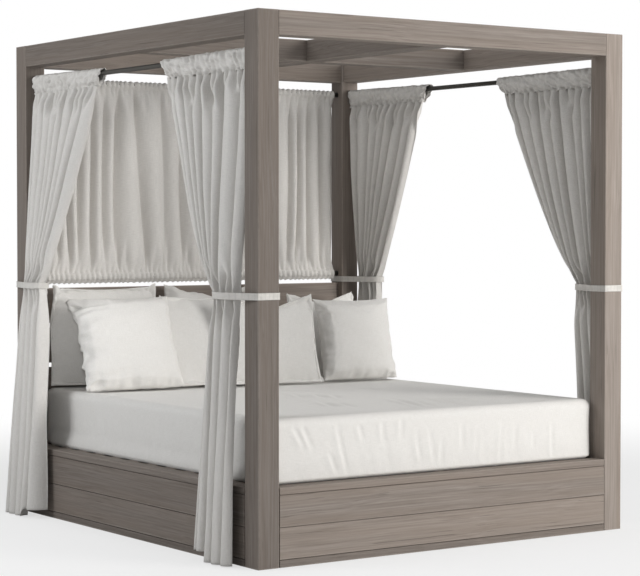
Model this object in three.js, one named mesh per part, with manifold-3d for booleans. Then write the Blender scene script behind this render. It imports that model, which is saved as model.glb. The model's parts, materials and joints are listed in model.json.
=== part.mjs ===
// Outdoor daybed with a flat open canopy: four square timber posts, a plank base with a slatted
// deck, a slatted headboard, a mattress with loose pillows, and curtains gathered on metal rods.
// Units are millimetres. X runs across the bed, Y from foot to head, Z up. The origin lies on the
// ground at the middle of the four posts.
import * as THREE from 'three';
import { mergeVertices } from 'three/addons/utils/BufferGeometryUtils.js';
import Module from 'manifold-3d';

const wasm = await Module();
wasm.setup();

// Overall frame
const bedWidth = 2140;
const bedLength = 2340;
const bedHeight = 2440;
const postWidth = 110;
const easedEdge = 3;
const fit = 0.3;
const overrun = 10;

// Roof beams and rafters
const beamThickness = 100;
const beamDepth = 108;
const beamTenonWidth = 40;
const beamTenonHeight = 70;
const beamTenonLength = 38;
const rafterTenonHeight = 60;
const rafterTenonLength = 25;

// Plank base
const capThickness = 31;
const capTenonWidth = 40;
const capTenonHeight = 18;
const capTenonLength = 30;
const plankHeight = 140;
const plankThickness = 25;
const plankEase = 1.5;
const shadowGap = 3;
const tongueThickness = 8;
const tongueHeight = 7;
const endTongueLength = 12;
const bottomRailHeight = 32;
const bottomRailDepth = 60;
const ledgeWidth = 25;
const ledgerWidth = 50;
const ledgerHeight = 40;

// Slatted deck
const slatThickness = 20;
const slatWidth = 90;
const slatCount = 12;
const deckBeamWidth = 45;
const deckBeamDepth = 100;
const slatHousing = 8;
const deckLegWidth = 60;
const deckLegSpacing = 1000;

// Headboard
const headboardPlankCount = 4;
const headboardPlankHeight = 186;
const headboardGap = 24;
const headboardPlankThickness = 24;
const headboardHousing = 15;
const headboardFloat = 2;
const stileWidth = 60;
const stileThickness = 20;

// Curtain rods
const rodRadius = 12;
const rodFlangeRadius = 15;
const rodFlangeThickness = 4;
const rodSeat = 15;
const sideRodDrop = 77;
const rearRodUpperDrop = 70;
const rearRodLowerRise = 55;
const rodSides = 16;

// Side curtains: the rod pocket, the drop below it and the tie band
const pocketHead = 26;
const pocketSkirt = 68;
const pocketRodHalf = 21;
const pocketHemHalf = 9;
const pocketRipple = 3;
const pocketRippleCount = 7;
const pocketEndGap = 10;
const pocketSlope = 62;
const pocketSlopeShare = 0.25;
const tieRise = 22;
const tieBandHeight = 32;
const tieBandThickness = 3;
const tieSlack = 1.2;
const bundleWidth = 104;
const bundleLength = 194;
const bundleOffset = 63;
const bundleReach = 177;
const dropHalfDepth = 25;
const dropFoldCount = 5;
const stepsPerFold = 4;
const hemHeight = 3;
const hemClearance = 2;
const bundleSpread = 150;
const tieGrip = 18;
const tieDirections = 40;

// Where the cloth is gathered and where it hangs free: how round its outline is, how thin it gets
// at its two edges, and how much of its depth is taken by its folds.
const gatheredRoundness = 2;
const hangingRoundness = 6;
const gatheredEdgeShare = 0.12;
const hangingEdgeShare = 0.36;
const gatheredFoldShare = 0.2;
const hangingFoldShare = 0.62;
const hemFoldShare = 0.58;
const innerFallShare = 0.62;

// Each corner's curtain: where its rod pocket ends along half the span, how far its hem flares
// outside the base in post widths, where the hem's two ends lie along half the bed, and the powers
// by which its leading edge fans out above the tie and spreads below it.
const curtainCorners = [
  {
    name: 'front_left', side: -1, end: -1,
    pocketShare: 0.25, flareShare: 0.86, hemShares: [0.885, 0.637], fan: 0.74, spread: 1,
  },
  {
    name: 'front_right', side: 1, end: -1,
    pocketShare: 0.264, flareShare: 1.2, hemShares: [0.932, 0.684], fan: 0.85, spread: 1,
  },
  {
    name: 'rear_left', side: -1, end: 1,
    pocketShare: 0.288, flareShare: 1.2, hemShares: [0.944, 0.645], fan: 0.85, spread: 0.45,
  },
  {
    name: 'rear_right', side: 1, end: 1,
    pocketShare: 0.276, flareShare: 0.86, hemShares: [0.932, 0.684], fan: 0.85, spread: 1,
  },
];

// Rear curtain, gathered on two rods
const rearCurtainGap = 23;
const rearCurtainWidth = bedWidth - 2 * postWidth - 2 * rearCurtainGap;
const rearStitchGap = 21;
const rearHem = 35;
const rearPocketHalf = 17;
const rearClothHalf = 3.5;
const rearFoldDepth = 13;
const rearRippleDepth = 2;
const rearFoldCount = 11;
const rearWaist = 16;

// Mattress
const mattressSideGap = 5;
const mattressWidth = bedWidth - 2 * postWidth - 2 * mattressSideGap;
const mattressTop = 648;
const mattressFrontInset = 76;
const mattressHeadGap = 8;
const mattressEdgeRadius = 36;
const mattressCornerRadius = 45;
const mattressSideDraw = 6;

// Loose pillows in four sizes, their widths as shares of the mattress's width
const backPillowWidth = 0.3361 * mattressWidth;
const backPillowHeight = 600;
const frontPillowWidth = 0.2963 * mattressWidth;
const frontPillowHeight = 540;
const middlePillowHeight = 500;
const smallPillowWidth = 0.2576 * mattressWidth;
const smallPillowHeight = 470;
const pillowThickness = 146;
const pillowCells = 8;
const pillowDrawShare = 0.06;
const pillowCrownPower = 0.42;
const chopPullShare = 0.4;
const pillowRowPitch = 171;

const backPillow = { width: backPillowWidth, height: backPillowHeight };
const uprightPillow = { width: backPillowWidth, height: frontPillowHeight };
const frontPillow = { width: frontPillowWidth, height: frontPillowHeight };
const middlePillow = { width: frontPillowWidth, height: middlePillowHeight };
const smallPillow = { width: smallPillowWidth, height: smallPillowHeight };

// The middle of each pillow: across as a share of the mattress's width from its middle, and rows
// as pillow rows from the mattress's head end. Its turn and lean are in degrees, and its upper
// edge is chopped by a share of its height.
const pillows = [
  {
    name: 'back_pillow_left', size: uprightPillow,
    acrossShare: -0.319, rows: 0.47, turn: 0, lean: 8, chopShare: 0,
  },
  {
    name: 'back_pillow_centre', size: backPillow,
    acrossShare: 0.022, rows: 1.035, turn: 0, lean: 27, chopShare: 0.117,
  },
  {
    name: 'back_pillow_right', size: middlePillow,
    acrossShare: 0.353, rows: 1.684, turn: 10, lean: 14, chopShare: 0.1,
  },
  {
    name: 'front_pillow_left', size: frontPillow,
    acrossShare: -0.342, rows: 2.152, turn: -7, lean: 26, chopShare: 0,
  },
  {
    name: 'front_pillow_centre_left', size: frontPillow,
    acrossShare: -0.056, rows: 2.038, turn: 0, lean: 27, chopShare: 0,
  },
  {
    name: 'front_pillow_centre_right', size: middlePillow,
    acrossShare: 0.0725, rows: 3.166, turn: -10, lean: 11, chopShare: 0.13,
  },
  {
    name: 'front_pillow_right', size: smallPillow,
    acrossShare: 0.366, rows: 3.1, turn: -4, lean: 14, chopShare: 0,
  },
];

// Places that follow from the sizes above
const postX = (bedWidth - postWidth) / 2;
const postY = (bedLength - postWidth) / 2;
const spanX = bedWidth - 2 * postWidth;
const spanY = bedLength - 2 * postWidth;
const lowerPlankBottom = bottomRailHeight + shadowGap;
const upperPlankBottom = lowerPlankBottom + plankHeight + shadowGap;
const capBottom = upperPlankBottom + plankHeight + shadowGap;
const capTop = capBottom + capThickness;
const tongueNear = (plankThickness - tongueThickness) / 2;
const tongueFar = (plankThickness + tongueThickness) / 2;
const ledgeHeight = capThickness - slatThickness - fit;
const deckTop = capTop;
const deckSeat = capBottom + ledgeHeight + fit;
const beamBottom = bedHeight - beamDepth;
const headboardY = postY;
const headboardPitch = headboardPlankHeight + headboardGap;
const headboardBottom = capTop + headboardFloat;
const headboardTop = headboardBottom + (headboardPlankCount - 1) * headboardPitch + headboardPlankHeight;
const sideRodHeight = beamBottom - sideRodDrop;
const rearRodUpperHeight = beamBottom - rearRodUpperDrop;
const rearRodLowerHeight = headboardTop + rearRodLowerRise;
const pocketTop = sideRodHeight + pocketHead;
const pocketBottom = sideRodHeight - pocketSkirt;
const tieHeight = headboardTop + tieRise;
const rearTop = rearRodUpperHeight + rearStitchGap;
const rearUpperStitch = rearRodUpperHeight - rearStitchGap;
const rearLowerStitch = rearRodLowerHeight + rearStitchGap;
const rearBottom = rearRodLowerHeight - rearHem;

const degree = Math.PI / 180;

function mix(from, to, share) {
  return from + (to - from) * share;
}

function ease(share) {
  return share * share * (3 - 2 * share);
}

function colour(hex, roughness, metalness) {
  return new THREE.MeshStandardMaterial({ color: hex, roughness, metalness });
}

const makeTeak = () => colour(0x857668, 0.75, 0);
const makeDeckTimber = () => colour(0x9a8a76, 0.8, 0);
const makeRodMetal = () => colour(0x34342f, 0.45, 0.8);
const makeCurtainCloth = () => colour(0xb8b3ab, 0.9, 0);
const makeCoverCloth = () => colour(0xe8e5df, 0.9, 0);
const makeTieCloth = () => colour(0xd9d6cf, 0.9, 0);

// Solids for cutting and joining

function toSolid(geometry) {
  const bare = geometry.clone();
  bare.deleteAttribute('normal');
  bare.deleteAttribute('uv');
  const merged = mergeVertices(bare);
  return new wasm.Manifold(new wasm.Mesh({
    numProp: 3,
    vertProperties: new Float32Array(merged.attributes.position.array),
    triVerts: new Uint32Array(merged.index.array),
  }));
}

function toGeometry(solid) {
  const mesh = solid.getMesh();
  const geometry = new THREE.BufferGeometry();
  geometry.setAttribute('position', new THREE.BufferAttribute(new Float32Array(mesh.vertProperties), 3));
  geometry.setIndex(new THREE.BufferAttribute(new Uint32Array(mesh.triVerts), 1));
  geometry.computeVertexNormals();
  return geometry;
}

// A block between two corners.
function block(low, high) {
  const size = high.map((value, axis) => value - low[axis]);
  const middle = high.map((value, axis) => (value + low[axis]) / 2);
  const geometry = new THREE.BoxGeometry(size[0], size[1], size[2]);
  geometry.translate(middle[0], middle[1], middle[2]);
  return toSolid(geometry);
}

// A bar of one section along X: the section's first coordinate is Y, its second is Z.
function barAlongX(points, length) {
  const shape = new THREE.Shape(points.map(([y, z]) => new THREE.Vector2(y, z)));
  const geometry = new THREE.ExtrudeGeometry(shape, { depth: length, bevelEnabled: false });
  geometry.translate(0, 0, -length / 2);
  const turn = new THREE.Matrix4().makeBasis(
    new THREE.Vector3(0, 1, 0), new THREE.Vector3(0, 0, 1), new THREE.Vector3(1, 0, 0));
  geometry.applyMatrix4(turn);
  return toSolid(geometry);
}

// A rectangle with its four corners eased, from the origin to width and height.
function easedRectangle(width, height, ease) {
  return [
    [ease, 0], [width - ease, 0], [width, ease], [width, height - ease],
    [width - ease, height], [ease, height], [0, height - ease], [0, ease],
  ];
}

// Signed volume, positive when the faces point outwards.
function signedVolume(positions, triangles) {
  let volume = 0;
  for (let i = 0; i < triangles.length; i += 3) {
    const [a, b, c] = [triangles[i], triangles[i + 1], triangles[i + 2]].map((v) => positions[v]);
    volume += a.dot(b.clone().cross(c));
  }
  return volume;
}

function closedGeometry(positions, triangles) {
  if (signedVolume(positions, triangles) < 0) {
    triangles.reverse();
  }
  const geometry = new THREE.BufferGeometry();
  geometry.setFromPoints(positions);
  geometry.setIndex(triangles);
  geometry.computeVertexNormals();
  return geometry;
}

// A closed skin through rings of equally many points. Each ring goes out along one face and back
// along the other, so its two ends are closed by a ladder of strips between the two faces.
function loftRings(rings) {
  const count = rings[0].length;
  const positions = rings.flat();
  const triangles = [];
  for (let ring = 0; ring < rings.length - 1; ring += 1) {
    for (let k = 0; k < count; k += 1) {
      const next = (k + 1) % count;
      const a = ring * count + k;
      const b = ring * count + next;
      const c = a + count;
      const d = b + count;
      triangles.push(a, b, d, a, d, c);
    }
  }
  const last = (rings.length - 1) * count;
  for (let k = 0; k < count / 2 - 1; k += 1) {
    const twin = count - 1 - k;
    triangles.push(k + 1, k, twin, k + 1, twin, twin - 1);
    triangles.push(last + k, last + k + 1, last + twin, last + k + 1, last + twin - 1, last + twin);
  }
  return closedGeometry(positions, triangles);
}

const bed = new THREE.Group();

function addPiece(parent, name, geometry, material) {
  const mesh = new THREE.Mesh(geometry, material);
  mesh.name = name;
  parent.add(mesh);
  return mesh;
}

// Posts. Each is cut on its two inner faces for the planks, the cap rails and the beams, and
// bored for the rods. `side` and `end` are the signs of the corner's X and Y.

function postPocket(side, end, face, near, far, bottom, top, depth) {
  const half = postWidth / 2;
  const across = [half - near, half - far];
  const into = [half + overrun, half - depth];
  const [xs, ys] = face === 'x'
    ? [into.map((v) => -side * v), across.map((v) => end * v)]
    : [across.map((v) => side * v), into.map((v) => -end * v)];
  return block(
    [Math.min(...xs), Math.min(...ys), bottom],
    [Math.max(...xs), Math.max(...ys), top]);
}

function rodBore(side, end, face, height) {
  const depth = rodSeat + overrun;
  const geometry = new THREE.CylinderGeometry(rodRadius + fit, rodRadius + fit, depth, rodSides);
  const middle = postWidth / 2 - rodSeat + depth / 2;
  if (face === 'x') {
    geometry.rotateZ(Math.PI / 2);
    geometry.translate(-side * middle, 0, height);
  } else {
    geometry.translate(0, -end * middle, height);
  }
  return toSolid(geometry);
}

function makePost(side, end) {
  const half = postWidth / 2;
  const shape = new THREE.Shape(
    easedRectangle(postWidth, postWidth, easedEdge).map(([x, y]) => new THREE.Vector2(x - half, y - half)));
  let post = toSolid(new THREE.ExtrudeGeometry(shape, { depth: bedHeight, bevelEnabled: false }));
  for (const face of ['x', 'y']) {
    const cuts = [
      postPocket(side, end, face, tongueNear - fit, tongueFar + fit, -overrun,
        capBottom + tongueHeight + fit, endTongueLength + fit),
      postPocket(side, end, face, capTenonNear - fit, capTenonFar + fit, capTenonBottom - fit,
        capTenonBottom + capTenonHeight + fit, capTenonLength + fit),
      postPocket(side, end, face, beamTenonNear - fit, beamTenonFar + fit, beamTenonBottom - fit,
        beamTenonBottom + beamTenonHeight + fit, beamTenonLength + fit),
    ];
    cuts.forEach((cut) => { post = post.subtract(cut); });
  }
  post = post.subtract(rodBore(side, end, 'y', sideRodHeight));
  if (end > 0) {
    const near = (postWidth - headboardPlankThickness) / 2;
    post = post.subtract(postPocket(side, end, 'x', near - fit, postWidth - near + fit, capTop,
      headboardTop + fit, headboardHousing + fit));
    post = post.subtract(rodBore(side, end, 'x', rearRodUpperHeight));
    post = post.subtract(rodBore(side, end, 'x', rearRodLowerHeight));
  }
  return toGeometry(post);
}

const capTenonNear = (postWidth - capTenonWidth) / 2;
const capTenonFar = (postWidth + capTenonWidth) / 2;
const capTenonBottom = capBottom + (capThickness - capTenonHeight) / 2 + fit;
const beamTenonNear = (beamThickness - beamTenonWidth) / 2;
const beamTenonFar = (beamThickness + beamTenonWidth) / 2;
const beamTenonBottom = beamBottom + (beamDepth - beamTenonHeight) / 2;

for (const side of [-1, 1]) {
  for (const end of [-1, 1]) {
    const name = `post_${end < 0 ? 'front' : 'rear'}_${side < 0 ? 'left' : 'right'}`;
    const post = addPiece(bed, name, makePost(side, end), makeTeak());
    post.position.set(side * postX, end * postY, 0);
  }
}

// Boards, rails and beams of one side. They are made with the outer face at y = 0, looking
// towards -Y, and the whole side is turned into place.

// Cuts both ends of a board back to the tongue that runs in the posts' grooves.
function endTongues(board, span, depth, bottom, top) {
  const face = span / 2 - shadowGap;
  const tip = span / 2 + endTongueLength + overrun;
  let result = board;
  for (const sign of [-1, 1]) {
    const [low, high] = sign > 0 ? [face, tip] : [-tip, -face];
    const front = block([low, -overrun, bottom - overrun], [high, tongueNear, top + overrun]);
    const back = block([low, tongueFar, bottom - overrun], [high, depth + overrun, top + overrun]);
    result = result.subtract(front).subtract(back);
  }
  return result;
}

function plankSection(height) {
  const grooveTop = tongueHeight + 2 * fit;
  return [
    [0, plankEase], [plankEase, 0],
    [tongueNear - fit, 0], [tongueNear - fit, grooveTop], [tongueFar + fit, grooveTop], [tongueFar + fit, 0],
    [plankThickness, 0], [plankThickness, height],
    [tongueFar, height], [tongueFar, height + shadowGap + tongueHeight],
    [tongueNear, height + shadowGap + tongueHeight], [tongueNear, height],
    [plankEase, height], [0, height - plankEase],
  ];
}

function makePlank(span) {
  const bar = barAlongX(plankSection(plankHeight), span + 2 * endTongueLength);
  return toGeometry(endTongues(bar, span, plankThickness, 0, plankHeight));
}

function makeBottomRail(span) {
  const section = [
    [0, 0], [bottomRailDepth, 0], [bottomRailDepth, bottomRailHeight],
    [tongueFar, bottomRailHeight], [tongueFar, bottomRailHeight + shadowGap + tongueHeight],
    [tongueNear, bottomRailHeight + shadowGap + tongueHeight], [tongueNear, bottomRailHeight],
    [plankEase, bottomRailHeight], [0, bottomRailHeight - plankEase],
  ];
  const bar = barAlongX(section, span + 2 * endTongueLength);
  return toGeometry(endTongues(bar, span, bottomRailDepth, 0, bottomRailHeight));
}

// The cap rail lies flat on the planks. Its inner edge is rebated for the deck and carries a
// ledger underneath.
function makeCapRail(span) {
  const grooveTop = tongueHeight + 2 * fit;
  const section = [
    [0, plankEase], [plankEase, 0],
    [tongueNear - fit, 0], [tongueNear - fit, grooveTop], [tongueFar + fit, grooveTop], [tongueFar + fit, 0],
    [postWidth - ledgerWidth, 0], [postWidth - ledgerWidth, -ledgerHeight],
    [postWidth, -ledgerHeight], [postWidth, ledgeHeight],
    [postWidth - ledgeWidth, ledgeHeight], [postWidth - ledgeWidth, capThickness],
    [easedEdge, capThickness], [0, capThickness - easedEdge],
  ];
  const bar = barAlongX(section, span - 2 * shadowGap);
  const reach = span / 2 + capTenonLength;
  const tenonLow = capTenonBottom - capBottom;
  const tenon = block([-reach, capTenonNear, tenonLow], [reach, capTenonFar, tenonLow + capTenonHeight]);
  return toGeometry(bar.add(tenon));
}

function makeBeam(span) {
  const bar = barAlongX(easedRectangle(beamThickness, beamDepth, easedEdge), span - 2 * fit);
  const reach = span / 2 + beamTenonLength;
  const tenonLow = beamTenonBottom - beamBottom;
  const tenon = block([-reach, beamTenonNear, tenonLow], [reach, beamTenonFar, tenonLow + beamTenonHeight]);
  const half = beamTenonWidth / 2 + fit;
  const mortiseLow = (beamDepth - rafterTenonHeight) / 2 - fit;
  const mortise = block(
    [-half, beamThickness - rafterTenonLength - fit, mortiseLow],
    [half, beamThickness + overrun, beamDepth - mortiseLow]);
  return toGeometry(bar.add(tenon).subtract(mortise));
}

const sides = [
  { name: 'front', turn: 0, x: 0, y: -bedLength / 2, span: spanX },
  { name: 'right', turn: 90, x: bedWidth / 2, y: 0, span: spanY },
  { name: 'rear', turn: 180, x: 0, y: bedLength / 2, span: spanX },
  { name: 'left', turn: -90, x: -bedWidth / 2, y: 0, span: spanY },
];

for (const side of sides) {
  const group = new THREE.Group();
  group.position.set(side.x, side.y, 0);
  group.rotation.z = side.turn * degree;
  bed.add(group);
  addPiece(group, `bottom_rail_${side.name}`, makeBottomRail(side.span), makeTeak());
  addPiece(group, `lower_plank_${side.name}`, makePlank(side.span), makeTeak()).position.z = lowerPlankBottom;
  addPiece(group, `upper_plank_${side.name}`, makePlank(side.span), makeTeak()).position.z = upperPlankBottom;
  addPiece(group, `cap_rail_${side.name}`, makeCapRail(side.span), makeTeak()).position.z = capBottom;
  addPiece(group, `beam_${side.name}`, makeBeam(side.span), makeTeak()).position.z = beamBottom;
}

// Rafters. They cross in the middle of the roof with a half lap and end in the beams' mortises.
// The cross rafter keeps its lower half there, the long one its upper half.
function makeRafter(span, keepsLowerHalf) {
  const half = beamThickness / 2;
  const section = easedRectangle(beamThickness, beamDepth, easedEdge).map(([y, z]) => [y - half, z]);
  let rafter = barAlongX(section, span - 2 * fit);
  const reach = span / 2 + rafterTenonLength;
  const low = (beamDepth - rafterTenonHeight) / 2;
  const tenonHalf = beamTenonWidth / 2;
  rafter = rafter.add(block([-reach, -tenonHalf, low], [reach, tenonHalf, beamDepth - low]));
  const notch = half + fit;
  const middle = beamDepth / 2;
  const [bottom, top] = keepsLowerHalf
    ? [middle - fit / 2, beamDepth + overrun]
    : [-overrun, middle + fit / 2];
  return toGeometry(rafter.subtract(block([-notch, -half - overrun, bottom], [notch, half + overrun, top])));
}

const crossSpan = bedWidth - 2 * beamThickness;
const longSpan = bedLength - 2 * beamThickness;
addPiece(bed, 'rafter_cross', makeRafter(crossSpan, true), makeTeak()).position.z = beamBottom;
const longRafter = addPiece(bed, 'rafter_long', makeRafter(longSpan, false), makeTeak());
longRafter.position.z = beamBottom;
longRafter.rotation.z = Math.PI / 2;

// Slatted deck: slats housed on a beam along the middle of the bed. The slats' ends and the
// beam's two lugs rest in the cap rails' rebates.
function makeDeck() {
  const bottom = deckSeat;
  const slatHalf = spanX / 2 + ledgeWidth - fit;
  const beamHalf = spanY / 2 - fit;
  const lugHalf = spanY / 2 + ledgeWidth - fit;
  const half = deckBeamWidth / 2;
  let deck = block([-half, -beamHalf, bottom - deckBeamDepth], [half, beamHalf, bottom + slatHousing]);
  deck = deck.add(block([-half, -lugHalf, bottom], [half, lugHalf, deckTop]));
  const pitch = spanY / slatCount;
  for (let i = 0; i < slatCount; i += 1) {
    const y = -spanY / 2 + (i + 0.5) * pitch;
    deck = deck.add(block([-slatHalf, y - slatWidth / 2, bottom], [slatHalf, y + slatWidth / 2, deckTop]));
  }
  return toGeometry(deck);
}

addPiece(bed, 'slat_deck', makeDeck(), makeDeckTimber());

function makeDeckLeg() {
  const half = deckLegWidth / 2;
  const height = deckSeat - deckBeamDepth - fit;
  return toGeometry(barAlongX(easedRectangle(deckLegWidth, height, easedEdge).map(([y, z]) => [y - half, z]),
    deckLegWidth));
}

addPiece(bed, 'deck_leg_front', makeDeckLeg(), makeDeckTimber()).position.y = -deckLegSpacing / 2;
addPiece(bed, 'deck_leg_rear', makeDeckLeg(), makeDeckTimber()).position.y = deckLegSpacing / 2;

// Headboard: planks let into the rear posts with open gaps between them, and a stile behind.
function makeHeadboardPlank() {
  const half = headboardPlankThickness / 2;
  const section = easedRectangle(headboardPlankThickness, headboardPlankHeight, easedEdge)
    .map(([y, z]) => [y - half, z]);
  return toGeometry(barAlongX(section, spanX + 2 * headboardHousing));
}

for (let i = 0; i < headboardPlankCount; i += 1) {
  const plank = addPiece(bed, `headboard_plank_${i + 1}`, makeHeadboardPlank(), makeTeak());
  plank.position.set(0, headboardY, headboardBottom + i * headboardPitch);
}

const stileLow = headboardY + headboardPlankThickness / 2 + fit;
addPiece(bed, 'headboard_stile', toGeometry(block(
  [-stileWidth / 2, stileLow, capTop + fit],
  [stileWidth / 2, stileLow + stileThickness, headboardTop - easedEdge])), makeTeak());

// Curtain rods, turned with a flange at each end. Their ends sit in the posts' bores.
function makeRod(span) {
  const seat = span / 2 + rodSeat - fit;
  const flangeOuter = span / 2 - fit;
  const flangeInner = flangeOuter - rodFlangeThickness;
  const half = [
    [0, seat], [rodRadius, seat], [rodRadius, flangeOuter],
    [rodFlangeRadius, flangeOuter], [rodFlangeRadius, flangeInner], [rodRadius, flangeInner],
  ];
  const lower = half.map(([radius, along]) => new THREE.Vector2(radius, -along));
  const upper = half.map(([radius, along]) => new THREE.Vector2(radius, along)).reverse();
  return new THREE.LatheGeometry([...lower, ...upper], rodSides);
}

function mergedRod(span) {
  return toGeometry(toSolid(makeRod(span)));
}

addPiece(bed, 'rod_left', mergedRod(spanY), makeRodMetal()).position.set(-postX, 0, sideRodHeight);
addPiece(bed, 'rod_right', mergedRod(spanY), makeRodMetal()).position.set(postX, 0, sideRodHeight);
const rearRods = [['rod_rear_upper', rearRodUpperHeight], ['rod_rear_lower', rearRodLowerHeight]];
for (const [name, height] of rearRods) {
  const rod = addPiece(bed, name, mergedRod(spanX), makeRodMetal());
  rod.position.set(0, postY, height);
  rod.rotation.z = Math.PI / 2;
}

// Side curtains. Their rings are written in the corner's own terms: `out` is the distance from the
// middle plane of the bed across, `along` the distance from it lengthwise, both positive.

function cornerPoint(corner, out, along, height) {
  return new THREE.Vector3(corner.side * out, corner.end * along, height);
}

const pocketBack = spanY / 2 - pocketEndGap;

function pocketLeadOf(corner) {
  return corner.pocketShare * spanY / 2;
}

// One ring of the rod pocket: down its outer face and up its inner face.
function pocketRing(corner, share, step) {
  const ripple = pocketRipple * (step % 2 === 0 ? 1 : -1);
  const levels = [
    [pocketTop, pocketHemHalf],
    [(pocketTop + sideRodHeight) / 2, pocketRodHalf],
    [sideRodHeight, pocketRodHalf + pocketRipple],
    [(sideRodHeight + pocketBottom) / 2, pocketRodHalf - pocketRipple],
    [pocketBottom, pocketHemHalf],
  ];
  const leadShare = Math.max(0, 1 - (1 - share) / pocketSlopeShare);
  const point = (height, out) => {
    const drop = (pocketTop - height) / (pocketTop - pocketBottom);
    const lead = pocketLeadOf(corner) + pocketSlope * drop * leadShare;
    const along = pocketBack + (lead - pocketBack) * share;
    return cornerPoint(corner, postX + out, along, height);
  };
  const outer = levels.map(([height, half]) => point(height, half + ripple));
  const inner = levels.map(([height, half]) => point(height, -half + ripple)).reverse();
  return [...outer, ...inner];
}

function makePocket(corner) {
  const steps = 2 * pocketRippleCount;
  const rings = [];
  for (let i = 0; i <= steps; i += 1) {
    rings.push(pocketRing(corner, i / steps, i));
  }
  const bore = new THREE.CylinderGeometry(rodRadius + fit, rodRadius + fit, bedLength, rodSides);
  bore.translate(corner.side * postX, 0, sideRodHeight);
  return toGeometry(toSolid(loftRings(rings)).subtract(toSolid(bore)));
}

// How tightly the cloth is gathered at a height: 1 inside the tie band, 0 well away from it.
function gatherAt(height) {
  const away = Math.max(0, Math.abs(height - tieHeight) - tieGrip);
  return Math.exp(-((away / bundleSpread) ** 2));
}

// One ring of hanging cloth. Folds run along it as a wave, and its outline goes from an oval where
// it is gathered to a flat ribbon where it hangs free.
function clothRing(corner, { height, back, lead, inner, outer, foldShare }) {
  const steps = dropFoldCount * stepsPerFold;
  const middle = (inner + outer) / 2;
  const half = (outer - inner) / 2;
  const gather = gatherAt(height);
  const roundness = mix(hangingRoundness, gatheredRoundness, gather);
  const thinnest = mix(hangingEdgeShare, gatheredEdgeShare, gather);
  const face = (sign) => {
    const points = [];
    for (let i = 0; i <= steps; i += 1) {
      const share = i / steps;
      const profile = Math.max(thinnest, Math.sqrt(1 - Math.abs(2 * share - 1) ** roundness));
      const wave = foldShare * Math.sin(2 * Math.PI * dropFoldCount * share);
      const out = middle + half * profile * (wave + sign * (1 - foldShare));
      points.push(cornerPoint(corner, out, back + (lead - back) * share, height));
    }
    return points;
  };
  return [...face(1), ...face(-1).reverse()];
}

const bundleMiddle = postY - bundleReach;
const bundleLead = bundleMiddle - bundleLength / 2;
const bundleBack = bundleMiddle + bundleLength / 2;
const bundleInner = postX + bundleOffset - bundleWidth / 2;
const bundleOuter = postX + bundleOffset + bundleWidth / 2;

// The cloth above the tie fans out to the rod pocket.
function upperRing(corner, share) {
  const height = mix(tieHeight + tieGrip, pocketBottom - fit, share);
  const middle = postX + bundleOffset * (1 - share) ** 1.5;
  const gather = gatherAt(height);
  const half = mix(dropHalfDepth, bundleWidth / 2, gather);
  return {
    height,
    back: mix(bundleBack, pocketBack, Math.min(1, 2 * share)),
    lead: mix(bundleLead, pocketLeadOf(corner) + pocketSlope, share ** corner.fan),
    inner: middle - half,
    outer: middle + half,
    foldShare: mix(hangingFoldShare, gatheredFoldShare, gather),
  };
}

// The cloth below the tie falls outside the base and flares towards its hem.
function lowerRing(corner, share) {
  const hemOuter = bedWidth / 2 + postWidth * corner.flareShare;
  const [hemBack, hemLead] = corner.hemShares.map((hem) => hem * bedLength / 2);
  return {
    height: mix(tieHeight - tieGrip, hemHeight, share),
    back: mix(bundleBack, hemBack, share),
    lead: mix(bundleLead, hemLead, share ** corner.spread),
    inner: mix(bundleInner, bedWidth / 2 + hemClearance, ease(Math.min(1, share / innerFallShare))),
    outer: mix(bundleOuter, hemOuter, share),
    foldShare: mix(gatheredFoldShare, hemFoldShare, ease(share)),
  };
}

const lowerShares = [1, 0.7, 0.42, 0.2, 0.06, 0];
const upperShares = [0, 0.06, 0.16, 0.34, 0.62, 1];

function makeDrop(corner) {
  const rings = [
    ...lowerShares.map((share) => clothRing(corner, lowerRing(corner, share))),
    ...upperShares.map((share) => clothRing(corner, upperRing(corner, share))),
  ];
  return loftRings(rings);
}

// The tie is one band round the post and the gathered cloth: the outline of both together, pushed
// out by a distance, seen from above and centred on the post.
function tieOutline(corner, distance) {
  const half = postWidth / 2;
  const points = [];
  for (let i = 0; i < tieDirections; i += 1) {
    const angle = (i + 0.5) * 2 * Math.PI / tieDirections;
    const nx = Math.cos(angle);
    const ny = Math.sin(angle);
    const atPost = [Math.sign(nx) * half, Math.sign(ny) * half];
    const a = bundleWidth / 2 + tieSlack;
    const b = bundleLength / 2 + tieSlack;
    const reach = Math.hypot(a * nx, b * ny);
    const atCloth = [
      corner.side * bundleOffset + a * a * nx / reach,
      -corner.end * bundleReach + b * b * ny / reach,
    ];
    const postReach = atPost[0] * nx + atPost[1] * ny;
    const clothReach = atCloth[0] * nx + atCloth[1] * ny;
    const [x, y] = postReach > clothReach ? atPost : atCloth;
    points.push(new THREE.Vector2(x + distance * nx, y + distance * ny));
  }
  return points;
}

function makeTie(corner) {
  const shape = new THREE.Shape(tieOutline(corner, fit + tieBandThickness));
  shape.holes.push(new THREE.Path(tieOutline(corner, fit)));
  return new THREE.ExtrudeGeometry(shape, { depth: tieBandHeight, bevelEnabled: false });
}

for (const corner of curtainCorners) {
  addPiece(bed, `curtain_pocket_${corner.name}`, makePocket(corner), makeCurtainCloth());
  addPiece(bed, `curtain_drop_${corner.name}`, makeDrop(corner), makeCurtainCloth());
  const tie = addPiece(bed, `curtain_tie_${corner.name}`, makeTie(corner), makeTieCloth());
  tie.position.set(corner.side * postX, corner.end * postY, tieHeight - tieBandHeight / 2);
}

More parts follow.
